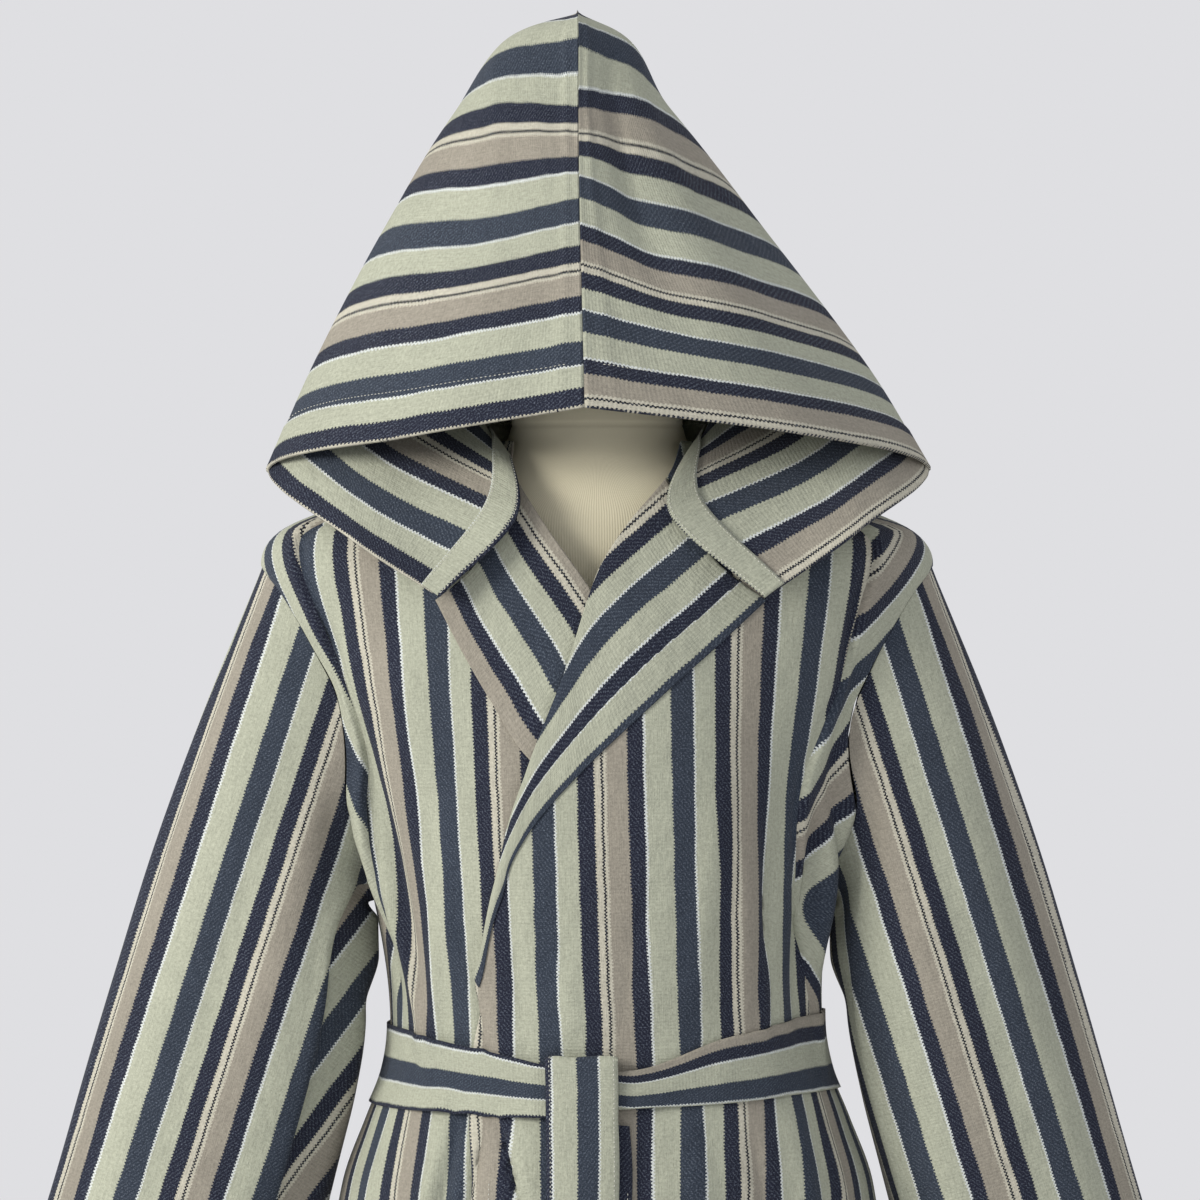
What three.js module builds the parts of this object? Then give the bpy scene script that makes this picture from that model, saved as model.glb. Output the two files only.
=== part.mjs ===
// A hooded wrap bathrobe of striped flat-woven cotton on a limbless dress form with a pole and a round base.
// Millimetres, +Z up. X runs across the shoulders, the front of the robe faces -Y, and the origin is the centre of
// the base's underside. Every cloth piece is a thin wall worked out from sections: the robe's body is one surface of
// rings, and the fronts, back, lapels and belt are stretches of it, each moved out by its own layer.
import * as THREE from "three";

// ---- Driving sizes -------------------------------------------------------------------------------------------
const CLOTH = 1.4; // thickness of one layer of cloth
const BELT_CLOTH = 3.2; // the belt is a flat tube of the same cloth
const SIDE = 300; // cloth from the centre front to the side seam below the armhole
const SEAM_GAP = 0.5;
const HEM = 225;
const NECK_TOP = 1440;
const ARMHOLE = { centre: 1222, reach: 126, depth: 78 }; // an oval on the side of the body
const LAPEL_BOW = 12; // how far a lapel's sewn end curves in at its middle
const LAYER = { lapel: 2.6, overFront: 5.3, belt: 3.8, atKnot: 12.6 }; // distances out from the cloth beneath

// Rings of the body. half is across, front and back are the depths, mid moves the ring sideways, and cloth is the
// cloth from the centre front or centre back to the side or shoulder seam.
const BODY = [
  { height: 225, half: 262, front: 172, back: 168, mid: 0, cloth: 300 },
  { height: 450, half: 247, front: 158, back: 156, mid: 1, cloth: 300 },
  { height: 600, half: 234, front: 148, back: 146, mid: 3, cloth: 300 },
  { height: 772, half: 213, front: 137, back: 133, mid: 6, cloth: 300 },
  { height: 885, half: 198, front: 128, back: 122, mid: 8, cloth: 300 },
  { height: 935, half: 180, front: 119, back: 114, mid: 8, cloth: 300 },
  { height: 970, half: 166, front: 113, back: 107, mid: 8, cloth: 300 },
  { height: 1005, half: 161, front: 115, back: 108, mid: 7, cloth: 300 },
  { height: 1060, half: 164, front: 121, back: 112, mid: 5, cloth: 300 },
  { height: 1130, half: 177, front: 127, back: 117, mid: 3, cloth: 300 },
  { height: 1200, half: 197, front: 129, back: 119, mid: 1, cloth: 300 },
  { height: 1270, half: 224, front: 124, back: 115, mid: 0, cloth: 300 },
  { height: 1320, half: 243, front: 116, back: 108, mid: 0, cloth: 300 },
  { height: 1352, half: 251, front: 109, back: 102, mid: 0, cloth: 298 },
  { height: 1372, half: 238, front: 104, back: 98, mid: 0, cloth: 281 },
  { height: 1388, half: 204, front: 99, back: 93, mid: 0, cloth: 246 },
  { height: 1402, half: 160, front: 93, back: 88, mid: 0, cloth: 202 },
  { height: 1415, half: 118, front: 86, back: 83, mid: 0, cloth: 160 },
  { height: 1428, half: 89, front: 79, back: 80, mid: 0, cloth: 132 },
  { height: 1440, half: 77, front: 75, back: 79, mid: 0, cloth: 119 },
];

// Soft folds of the body: a ridge (or a trough where out is negative) that runs from one height to another.
// at_top and at_foot are places across the cloth, negative on the wearer's right.
const FOLDS = [
  { side: "front", top: 1330, foot: 1060, at_top: -262, at_foot: -205, wide: 17, out: 13 },
  { side: "front", top: 1290, foot: 1000, at_top: -215, at_foot: -168, wide: 13, out: -7 },
  { side: "front", top: 1330, foot: 1040, at_top: 258, at_foot: 205, wide: 16, out: 13 },
  { side: "front", top: 1300, foot: 985, at_top: 214, at_foot: 172, wide: 13, out: -8 },
  { side: "front", top: 1240, foot: 960, at_top: 190, at_foot: 232, wide: 12, out: 8 },
  { side: "front", top: 1120, foot: 965, at_top: -215, at_foot: -150, wide: 11, out: 6 },
  { side: "front", top: 965, foot: 700, at_top: -128, at_foot: -168, wide: 12, out: 9 },
  { side: "front", top: 965, foot: 760, at_top: 150, at_foot: 176, wide: 14, out: 6 },
  { side: "back", top: 1310, foot: 1010, at_top: -235, at_foot: -178, wide: 20, out: 10 },
  { side: "back", top: 1300, foot: 1020, at_top: 240, at_foot: 170, wide: 18, out: 11 },
  { side: "back", top: 1150, foot: 950, at_top: -90, at_foot: -70, wide: 17, out: 6 },
  { side: "back", top: 1130, foot: 960, at_top: 20, at_foot: 30, wide: 15, out: 7 },
  { side: "back", top: 1160, foot: 950, at_top: 120, at_foot: 108, wide: 18, out: 6 },
];
// Hanging waves of the skirt: number across one side's cloth, phase in turns, and depth at the hem.
const WAVES = [
  { side: "front", number: 2.6, phase: 0.13, out: 8 },
  { side: "front", number: 4.1, phase: 0.55, out: 4 },
  { side: "back", number: 3.2, phase: 0.31, out: 10 },
  { side: "back", number: 4.7, phase: 0.05, out: 4 },
];

// Where each front turns back into its lapel, as a place across the cloth at each height.
const OVER_EDGE = [
  { height: 225, across: -112 },
  { height: 700, across: -108 },
  { height: 970, across: -105 },
  { height: 1033, across: -100 },
  { height: 1085, across: -88 },
  { height: 1122, across: -78 },
  { height: 1165, across: -65 },
  { height: 1200, across: -51 },
  { height: 1242, across: -34 },
  { height: 1282, across: -18 },
  { height: 1341, across: 0 },
  { height: 1374, across: 20 },
  { height: 1411, across: 51 },
  { height: 1440, across: 71 },
];
const UNDER_EDGE = [
  { height: 225, across: 112 },
  { height: 970, across: 104 },
  { height: 1085, across: 86 },
  { height: 1200, across: 50 },
  { height: 1282, across: 16 },
  { height: 1322, across: 0 },
  { height: 1345, across: -16 },
  { height: 1382, across: -43 },
  { height: 1419, across: -65 },
  { height: 1440, across: -71 },
];
// A lapel runs from its fold (the edge above) to its own outer edge, from the tip upwards.
const OVER_LAPEL = [
  { fold_height: 1046, fold: -98, edge_height: 1040, edge: -94 },
  { fold_height: 1122, fold: -78, edge_height: 1100, edge: -77 },
  { fold_height: 1200, fold: -51, edge_height: 1149, edge: -54 },
  { fold_height: 1270, fold: -23, edge_height: 1197, edge: -12 },
  { fold_height: 1335, fold: -2, edge_height: 1255, edge: 50 },
  { fold_height: 1374, fold: 20, edge_height: 1290, edge: 90 },
  { fold_height: 1411, fold: 51, edge_height: 1322, edge: 124 },
];
const UNDER_LAPEL = [
  { fold_height: 1215, fold: 44, edge_height: 1170, edge: 4 },
  { fold_height: 1282, fold: 16, edge_height: 1205, edge: -49 },
  { fold_height: 1322, fold: 0, edge_height: 1248, edge: -78 },
  { fold_height: 1374, fold: -36, edge_height: 1288, edge: -101 },
  { fold_height: 1411, fold: -60, edge_height: 1322, edge: -118 },
];

// The hood, as curves of cloth from the neck seam (0) round the widest place (0.45) to the crown seam (1).
// Each row is one such curve, at its place from the face edge (0) to the centre back seam (1).
const HOOD_STATIONS = [0, 0.22, 0.45, 0.72, 1];
const HOOD_NAMES = ["neck", "low", "side", "high", "crown"];
const HOOD_LEFT = [
  { at: 0, neck: [128, -125, 1328], low: [192, -104, 1374], side: [247, -24, 1421], high: [146, -104, 1444], crown: [-9, -142, 1462] },
  { at: 0.25, neck: [63, -109, 1388], low: [166, -44, 1438], side: [204, 16, 1497], high: [106, -78, 1522], crown: [-11, -108, 1538] },
  { at: 0.5, neck: [70, -61, 1432], low: [124, 14, 1496], side: [134, 40, 1592], high: [62, -34, 1611], crown: [-13, -66, 1615] },
  { at: 0.75, neck: [80.4, 14, 1441.5], low: [86, 72, 1560], side: [66, 56, 1676], high: [30, 10, 1704], crown: [-14, -20, 1692] },
  { at: 0.88, neck: [51, 61.5, 1441.5], low: [58, 98, 1558], side: [44, 78, 1676], high: [27, 36, 1742], crown: [-14, 0, 1750] },
  { at: 1, neck: [0, 80, 1441.5], low: [0, 114, 1548], side: [-5, 100, 1654], high: [-12, 56, 1754], crown: [-15, 26, 1769] },
];
const HOOD_RIGHT = [
  { at: 0, neck: [-120, -124, 1328], low: [-180, -104, 1368], side: [-245, -24, 1420], high: [-140, -106, 1441], crown: [-9, -142, 1462] },
  { at: 0.25, neck: [-68, -109, 1386], low: [-166, -44, 1439], side: [-210, 16, 1506], high: [-112, -78, 1526], crown: [-11, -108, 1538] },
  { at: 0.5, neck: [-70, -61, 1432], low: [-130, 14, 1500], side: [-160, 38, 1604], high: [-86, -36, 1612], crown: [-13, -66, 1615] },
  { at: 0.75, neck: [-80.4, 14, 1441.5], low: [-100, 72, 1560], side: [-115, 52, 1672], high: [-78, 4, 1704], crown: [-14, -20, 1692] },
  { at: 0.88, neck: [-51, 61.5, 1441.5], low: [-68, 98, 1560], side: [-84, 80, 1676], high: [-71, 36, 1744], crown: [-14, 0, 1750] },
  { at: 1, neck: [0, 80, 1441.5], low: [0, 114, 1548], side: [-5, 100, 1654], high: [-12, 56, 1754], crown: [-15, 26, 1769] },
];
const TAPE_GAP = 1.5;
const TAPE_WIDE = 0.06; // share of a hood curve that the neck tape covers

// Sleeves, from just below the armhole to the cuff: the outer and the inner line, and half the depth.
const LEFT_SLEEVE = [
  { outer: [263, 1320], inner: [179, 1084], deep: 60 },
  { outer: [275, 1288], inner: [189, 1079], deep: 62 },
  { outer: [295, 1232], inner: [186, 1052], deep: 65 },
  { outer: [325, 1142], inner: [186, 1004], deep: 66 },
  { outer: [351, 1058], inner: [196, 950], deep: 64 },
  { outer: [377, 972], inner: [211, 893], deep: 62 },
  { outer: [401, 890], inner: [228, 832], deep: 60 },
  { outer: [424, 812], inner: [246, 772], deep: 60 },
];
const RIGHT_SLEEVE = [
  { outer: [-263, 1320], inner: [-178, 1084], deep: 60 },
  { outer: [-275, 1288], inner: [-185, 1079], deep: 62 },
  { outer: [-295, 1232], inner: [-178, 1052], deep: 65 },
  { outer: [-326, 1142], inner: [-171, 1004], deep: 66 },
  { outer: [-353, 1058], inner: [-178, 952], deep: 64 },
  { outer: [-380, 972], inner: [-193, 893], deep: 62 },
  { outer: [-404, 890], inner: [-209, 832], deep: 60 },
  { outer: [-428, 812], inner: [-226, 772], deep: 60 },
];

// The belt's centre height and width, in quarter turns from the centre front through the wearer's left side.
const BELT = [
  { turn: 0, height: 963, wide: 30 },
  { turn: 0.1, height: 966, wide: 32 },
  { turn: 0.3, height: 977, wide: 50 },
  { turn: 0.65, height: 985, wide: 57 },
  { turn: 1, height: 985, wide: 60 },
  { turn: 2, height: 979, wide: 60 },
  { turn: 3, height: 975, wide: 60 },
  { turn: 3.35, height: 974, wide: 59 },
  { turn: 3.65, height: 969, wide: 51 },
  { turn: 3.86, height: 963, wide: 41 },
  { turn: 4, height: 963, wide: 30 },
];
const TAIL_WIDE = 50;
const KNOT_AT = -18; // place of the knot across the cloth
// The front end of the belt: up behind the band, over its top edge and down to hang. out is the middle of its cloth.
const FRONT_TAIL = [
  { out: 9.8, height: 942 },
  { out: 9.8, height: 964 },
  { out: 9.8, height: 983 },
  { out: 10.5, height: 987 },
  { out: 12.6, height: 989.8 },
  { out: 15.4, height: 989.8 },
  { out: 17.5, height: 987 },
  { out: 18.2, height: 983 },
  { out: 18.2, height: 964 },
  { out: 18, height: 938 },
  { out: 16.4, height: 915 },
  { out: 15, height: 880 },
  { out: 14.6, height: 820 },
  { out: 14.3, height: 740 },
  { out: 14.3, height: 645 },
  { out: 14.3, height: 550 },
];
const BACK_TAIL = [
  { out: 9.8, height: 938 },
  { out: 9.8, height: 880 },
  { out: 9.8, height: 800 },
  { out: 9.8, height: 700 },
  { out: 9.8, height: 604 },
];

// The dress form and its stand.
const FORM = [
  { height: 740, half: 150, front: 98, back: 100 },
  { height: 746, half: 158, front: 104, back: 106 },
  { height: 790, half: 166, front: 109, back: 114 },
  { height: 870, half: 162, front: 106, back: 110 },
  { height: 970, half: 140, front: 95, back: 91 },
  { height: 1060, half: 147, front: 104, back: 97 },
  { height: 1140, half: 156, front: 112, back: 102 },
  { height: 1220, half: 172, front: 110, back: 102 },
  { height: 1300, half: 192, front: 98, back: 96 },
  { height: 1345, half: 206, front: 88, back: 90 },
  { height: 1372, half: 212.5, front: 82, back: 85 },
  { height: 1388, half: 200.5, front: 78, back: 82 },
  { height: 1402, half: 156.5, front: 74, back: 79 },
  { height: 1415, half: 114.5, front: 69, back: 74 },
  { height: 1427, half: 86, front: 64, back: 69 },
  { height: 1442, half: 68, front: 59, back: 64 },
  { height: 1470, half: 62, front: 56, back: 60 },
  { height: 1478, half: 54, front: 49, back: 52 },
];
const POLE_RADIUS = 14;
const SOCKET = { radius: 24, height: 60 };
const BASE = { radius: 175, height: 14, bevel: 4 };

// ---- Materials -----------------------------------------------------------------------------------------------
const cloth = new THREE.MeshStandardMaterial({ color: 0x9c9f82, roughness: 0.95, metalness: 0 });
const jersey = new THREE.MeshStandardMaterial({ color: 0xcfc6a6, roughness: 0.9, metalness: 0 });
const steel = new THREE.MeshStandardMaterial({ color: 0xe4e3df, roughness: 0.45, metalness: 0.1 });

// ---- Curves through a table ----------------------------------------------------------------------------------
// A smooth curve through one column of a table, by another column, with slopes taken from the rows on either side.
function through(rows, key, at, value) {
  let i = 0;
  while (i < rows.length - 2 && at > rows[i + 1][key]) i++;
  const slope = (j) => {
    const a = rows[Math.max(0, j - 1)];
    const b = rows[Math.min(rows.length - 1, j + 1)];
    return (value(b) - value(a)) / (b[key] - a[key]);
  };
  const [low, high] = [rows[i], rows[i + 1]];
  const span = high[key] - low[key];
  const t = Math.min(1, Math.max(0, (at - low[key]) / span));
  const rise = t * t * (3 - 2 * t);
  const leave = t * (1 - t) * (1 - t);
  const arrive = t * t * (1 - t);
  return value(low) * (1 - rise) + value(high) * rise + span * (slope(i) * leave - slope(i + 1) * arrive);
}
const smooth = (from, to, x) => {
  const t = Math.min(1, Math.max(0, (x - from) / (to - from)));
  return t * t * (3 - 2 * t);
};
const mix = (a, b, t) => a + (b - a) * t;

// ---- The body surface ----------------------------------------------------------------------------------------
// How far the folds and waves move the cloth out at one place.
function drape(side, across, height) {
  let out = 0;
  for (const f of FOLDS) {
    if (f.side !== side || height > f.top || height < f.foot) continue;
    const t = (f.top - height) / (f.top - f.foot);
    const off = (across - mix(f.at_top, f.at_foot, t)) / f.wide;
    out += f.out * Math.exp(-off * off) * Math.sin(Math.PI * t);
  }
  const fall = smooth(930, HEM, height);
  const inside = 1 - (across / SIDE) ** 8;
  for (const w of WAVES)
    if (w.side === side)
      out += w.out * fall * inside * Math.sin(2 * Math.PI * ((w.number * across) / (2 * SIDE) + w.phase));
  return out;
}

const clothAt = (height) => through(BODY, "height", height, (r) => r.cloth);

// A point of the body's cloth: side front or back, across from the centre, at a height.
function bodyMid(side, across, height) {
  const half = through(BODY, "height", height, (r) => r.half);
  const deep = through(BODY, "height", height, (r) => r[side]);
  const mid = through(BODY, "height", height, (r) => r.mid);
  const share = across / clothAt(height);
  const pull = clothAt(height) / ((half * Math.PI) / 2);
  const angle = (Math.PI / 2) * (pull * share + (1 - pull) * share ** 3);
  const facing = side === "front" ? -1 : 1;
  const along = new THREE.Vector2(Math.sin(angle) * deep, facing * Math.cos(angle) * half).normalize();
  const out = drape(side, across, height);
  return new THREE.Vector3(
    mid + half * Math.sin(angle) + along.x * out,
    facing * deep * Math.cos(angle) + along.y * out,
    height,
  );
}

// The same point moved out from the cloth by a distance.
function onBody(side, across, height, out) {
  const step = 1.5;
  const top = Math.min(NECK_TOP, height + step);
  const wide = bodyMid(side, across + step, height).sub(bodyMid(side, across - step, height));
  const tall = bodyMid(side, across, top).sub(bodyMid(side, across, top - 2 * step));
  const outward = wide.cross(tall).normalize();
  if (side === "back") outward.negate();
  return bodyMid(side, across, height).addScaledVector(outward, out);
}

// ---- Walls ---------------------------------------------------------------------------------------------------
// A closed wall from two sheets of points, inner and outer, each rows of points, joined round the rim.
// ring says that each row closes on itself.
function wall(name, inner, outer, material, ring = false) {
  const rows = inner.length;
  const columns = inner[0].length;
  const points = [];
  for (const sheet of [inner, outer]) for (const row of sheet) for (const p of row) points.push(p.x, p.y, p.z);
  const at = (sheet, i, j) => (sheet * rows + i) * columns + (j % columns);
  const faces = [];
  const quad = (a, b, c, d) => faces.push(a, b, c, a, c, d);
  const last = ring ? columns : columns - 1;
  for (let i = 0; i < rows - 1; i++)
    for (let j = 0; j < last; j++) {
      quad(at(1, i, j), at(1, i, j + 1), at(1, i + 1, j + 1), at(1, i + 1, j));
      quad(at(0, i, j), at(0, i + 1, j), at(0, i + 1, j + 1), at(0, i, j + 1));
    }
  for (let j = 0; j < last; j++) {
    quad(at(0, 0, j), at(0, 0, j + 1), at(1, 0, j + 1), at(1, 0, j));
    quad(at(0, rows - 1, j), at(1, rows - 1, j), at(1, rows - 1, j + 1), at(0, rows - 1, j + 1));
  }
  if (!ring)
    for (let i = 0; i < rows - 1; i++) {
      quad(at(0, i, 0), at(1, i, 0), at(1, i + 1, 0), at(0, i + 1, 0));
      quad(at(0, i, last), at(0, i + 1, last), at(1, i + 1, last), at(1, i, last));
    }
  const geometry = new THREE.BufferGeometry();
  geometry.setAttribute("position", new THREE.Float32BufferAttribute(points, 3));
  geometry.setIndex(signedVolume(points, faces) < 0 ? faces.reverse() : faces);
  geometry.computeVertexNormals();
  const mesh = new THREE.Mesh(geometry, material);
  mesh.name = name;
  return mesh;
}

// Six times the volume that a closed surface holds, negative where its faces point inwards.
function signedVolume(points, faces) {
  const corner = (k) => new THREE.Vector3().fromArray(points, 3 * k);
  let sum = 0;
  for (let f = 0; f < faces.length; f += 3)
    sum += corner(faces[f]).dot(corner(faces[f + 1]).cross(corner(faces[f + 2])));
  return sum;
}

// A sheet of points from a function of two shares, down the rows and along each row.
function sheet(rows, columns, place, ring = false) {
  const made = [];
  for (let i = 0; i < rows; i++) {
    const row = [];
    for (let j = 0; j < columns; j++) row.push(place(i / (rows - 1), j / (ring ? columns : columns - 1)));
    made.push(row);
  }
  return made;
}

// A free surface's point moved along its own normal; around gives the surface from two shares.
function offset(around, u, v, out) {
  const step = 0.004;
  const [u0, u1] = [Math.max(0, u - step), Math.min(1, u + step)];
  const [v0, v1] = [Math.max(0, v - step), Math.min(1, v + step)];
  const du = around(u1, v).sub(around(u0, v));
  const dv = around(u, v1).sub(around(u, v0));
  return around(u, v).addScaledVector(du.cross(dv).normalize(), out);
}

// ---- Fronts and back -----------------------------------------------------------------------------------------
const HEIGHTS = [
  225, 300, 375, 450, 525, 600, 675, 745, 810, 865, 910, 945, 975, 1005, 1045, 1082, 1096, 1099, 1106, 1122, 1150,
  1190, 1230, 1270, 1305, 1330, 1343, 1348, 1356, 1367, 1379, 1392, 1405, 1417, 1428, 1440,
];
const PANEL_COLUMNS = 15;
const BACK_COLUMNS = 23;

// How far across the cloth reaches at a height: to the side or shoulder seam, or to the armhole's rim.
function sideReach(height, trim) {
  const t = (height - ARMHOLE.centre) / ARMHOLE.reach;
  return clothAt(height) - trim - ARMHOLE.depth * Math.sqrt(Math.max(0, 1 - t * t));
}
const heightAt = (share) => HEIGHTS[Math.round(share * (HEIGHTS.length - 1))];
const edgeAt = (rows, height) => through(rows, "height", height, (r) => r.across);

// The front that lies on top rises over the other one near the middle and comes down past the other's edge.
function overLift(across, height) {
  const past = across - edgeAt(UNDER_EDGE, height);
  return LAYER.overFront * (1 - smooth(12, 100, past));
}

function frontPanel(name, edgeRows, wearersLeft) {
  const sign = wearersLeft ? 1 : -1;
  const place = (layer) => (i, j) => {
    const height = heightAt(i);
    const across = mix(edgeAt(edgeRows, height), sign * sideReach(height, SEAM_GAP), j);
    return onBody("front", across, height, layer + (wearersLeft ? overLift(across, height) : 0));
  };
  const rows = HEIGHTS.length;
  return wall(name, sheet(rows, PANEL_COLUMNS, place(0)), sheet(rows, PANEL_COLUMNS, place(CLOTH)), cloth);
}

function backPanel() {
  const place = (layer) => (i, j) => {
    const height = heightAt(i);
    return onBody("back", (2 * j - 1) * sideReach(height, SEAM_GAP), height, layer);
  };
  const rows = HEIGHTS.length;
  return wall("back", sheet(rows, BACK_COLUMNS, place(0)), sheet(rows, BACK_COLUMNS, place(CLOTH)), cloth);
}

// ---- Lapels --------------------------------------------------------------------------------------------------
const LAPEL_ROWS = 15;
const LAPEL_COLUMNS = 6;

function lapel(name, table, wearersLeft) {
  const rows = table.map((r, k) => ({ ...r, k }));
  const pick = (share, value) => through(rows, "k", share * (rows.length - 1), value);
  const place = (out) => (i, j) => {
    const bow = LAPEL_BOW * smooth(0.7, 1, i) * Math.sin(Math.PI * j);
    const height = mix(pick(i, (r) => r.fold_height), pick(i, (r) => r.edge_height), j) - 0.78 * bow;
    const across = mix(pick(i, (r) => r.fold), pick(i, (r) => r.edge), j) - (wearersLeft ? 0.62 : -0.62) * bow;
    const lift = wearersLeft ? overLift(across, height) : 0;
    return onBody("front", across, height, LAYER.lapel + lift + out);
  };
  return wall(name, sheet(LAPEL_ROWS, LAPEL_COLUMNS, place(0)), sheet(LAPEL_ROWS, LAPEL_COLUMNS, place(CLOTH)), cloth);
}

// ---- Sleeves -------------------------------------------------------------------------------------------------
const SLEEVE_ROUND = 22;
const SLEEVE_ROWS = 13;
const HEAD_GAP = 2.2; // between the armhole's rim and the sleeve's first ring, across the cloth

// Round the armhole: turn 0 is the shoulder, a quarter is the front, a half is the underarm.
function armhole(sign, turn) {
  const angle = 2 * Math.PI * turn;
  const side = Math.sin(angle) >= 0 ? "front" : "back";
  const height = ARMHOLE.centre + (ARMHOLE.reach - HEAD_GAP) * Math.cos(angle);
  const across = sign * (clothAt(height) - (ARMHOLE.depth - HEAD_GAP) * Math.abs(Math.sin(angle)));
  return bodyMid(side, across, height);
}

// The sleeve leaves the armhole's oval and becomes a flat tube between its outer and inner lines.
function sleevePoint(table, sign, along, turn) {
  const rows = table.map((r, k) => ({ ...r, k }));
  const pick = (value) => through(rows, "k", along * (rows.length - 1), value);
  const outer = new THREE.Vector3(pick((r) => r.outer[0]), 0, pick((r) => r.outer[1]));
  const inner = new THREE.Vector3(pick((r) => r.inner[0]), 0, pick((r) => r.inner[1]));
  const angle = 2 * Math.PI * turn;
  const tube = outer.clone().add(inner).multiplyScalar(0.5);
  tube.addScaledVector(outer.clone().sub(inner), 0.5 * Math.cos(angle));
  tube.y -= pick((r) => r.deep) * Math.sin(angle);
  return tube;
}

function sleeve(name, table, sign) {
  const place = (along, turn) => {
    const drawn = smooth(0, 0.42, along);
    const rim = armhole(sign, turn);
    const start = sleevePoint(table, sign, 0, turn);
    const tube = sleevePoint(table, sign, Math.max(0, along), turn);
    const carried = rim.add(tube.clone().sub(start));
    return carried.lerp(tube, drawn);
  };
  const around = (u, v) => place(u ** 1.25, v);
  const point = (out) => (i, j) => {
    const turn = j;
    const step = 0.01;
    const u0 = Math.max(0, i - step);
    const u1 = Math.min(1, i + step);
    const down = around(u1, turn).sub(around(u0, turn));
    const round = around(i, turn + step).sub(around(i, turn - step));
    const outward = round.cross(down).normalize().multiplyScalar(-sign);
    return around(i, turn).addScaledVector(outward, out);
  };
  const inner = sheet(SLEEVE_ROWS, SLEEVE_ROUND, point(-CLOTH / 2), true);
  const outer = sheet(SLEEVE_ROWS, SLEEVE_ROUND, point(CLOTH / 2), true);
  return wall(name, inner, outer, cloth, true);
}

// ---- Hood and neck tape --------------------------------------------------------------------------------------
const HOOD_DEEP = 13;
const HOOD_ROUND = 15;
const CROWN_GAP = 0.5;

// A point of one half of the hood: back from the face edge, and round from the neck seam to the crown seam.
function hoodPoint(table, sign, back, round) {
  const knots = HOOD_STATIONS.map((at, k) => ({
    at,
    point: [0, 1, 2].map((axis) => through(table, "at", back, (r) => r[HOOD_NAMES[k]][axis])),
  }));
  const p = [0, 1, 2].map((axis) => through(knots, "at", round, (r) => r.point[axis]));
  return new THREE.Vector3(p[0] + sign * CROWN_GAP, p[1], p[2]);
}

function hoodHalf(name, table, sign) {
  const around = (u, v) => hoodPoint(table, sign, u, v);
  const place = (out) => (i, j) => offset(around, i, j, sign * out);
  const inner = sheet(HOOD_DEEP, HOOD_ROUND, place(0));
  const outer = sheet(HOOD_DEEP, HOOD_ROUND, place(CLOTH));
  return wall(name, inner, outer, cloth);
}

// The tape over the neck seam lies on the inside of the hood's lowest cells, so it takes their corners.
function neckTape(name, table, sign) {
  const around = (u, v) => hoodPoint(table, sign, u, v);
  const cell = 1 / (HOOD_ROUND - 1);
  const rows = HOOD_DEEP;
  const place = (out) => (i, j) => {
    const corner = (row) => {
      const u = row / (rows - 1);
      const low = offset(around, u, 0, -sign * (TAPE_GAP + out));
      return low.lerp(offset(around, u, cell, -sign * (TAPE_GAP + out)), 0.04 + (TAPE_WIDE / cell) * j);
    };
    const row = Math.round(i * (rows - 1));
    return row < rows - 1 ? corner(row) : corner(row - 1).lerp(corner(row), 0.6);
  };
  return wall(name, sheet(rows, 2, place(CLOTH)), sheet(rows, 2, place(0)), cloth);
}

// ---- Belt ----------------------------------------------------------------------------------------------------
const BELT_ROUND = 60;

// How far out the belt lies: over the top front where there is one, and over its own end at the knot.
function beltLift(side, across, height) {
  if (side === "back") return LAYER.belt;
  const overFront = overLift(across, height) * smooth(-190, -125, across);
  const overEnd = 1 - smooth(TAIL_WIDE * 0.6, TAIL_WIDE * 1.4, Math.abs(across - KNOT_AT));
  return LAYER.belt + overFront + (LAYER.atKnot - LAYER.overFront - LAYER.belt) * overEnd;
}

// The belt's wall round the waist, once round from the knot through the wearer's left.
function beltLoop() {
  const place = (out) => (i, j) => {
    const turn = 4 * j;
    const side = turn <= 1 || turn >= 3 ? "front" : "back";
    const across = (turn <= 1 ? turn : turn >= 3 ? turn - 4 : 2 - turn) * SIDE;
    const height = through(BELT, "turn", turn, (r) => r.height);
    const wide = through(BELT, "turn", turn, (r) => r.wide);
    return onBody(side, across, height + (i - 0.5) * wide, beltLift(side, across, height) + out);
  };
  const inner = sheet(4, BELT_ROUND, place(0), true);
  const outer = sheet(4, BELT_ROUND, place(BELT_CLOTH), true);
  return wall("belt_loop", inner, outer, cloth, true);
}

// A hanging end of the belt: a band whose cloth follows a table of places out from the body.
function tail(name, table, shift) {
  const at = (k, across) => onBody("front", across, table[k].height, table[k].out);
  const place = (side) =>
    table.map((row, k) =>
      [-0.5, 0, 0.5].map((j) => {
        const across = KNOT_AT + shift + j * TAIL_WIDE;
        const along = at(Math.min(table.length - 1, k + 1), across).sub(at(Math.max(0, k - 1), across));
        const outward = new THREE.Vector3(1, 0, 0).cross(along).normalize();
        return at(k, across).addScaledVector(outward, (side * BELT_CLOTH) / 2);
      }),
    );
  return wall(name, place(-1), place(1), cloth);
}

// ---- Dress form and stand ------------------------------------------------------------------------------------
const FORM_ROUND = 32;

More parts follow.
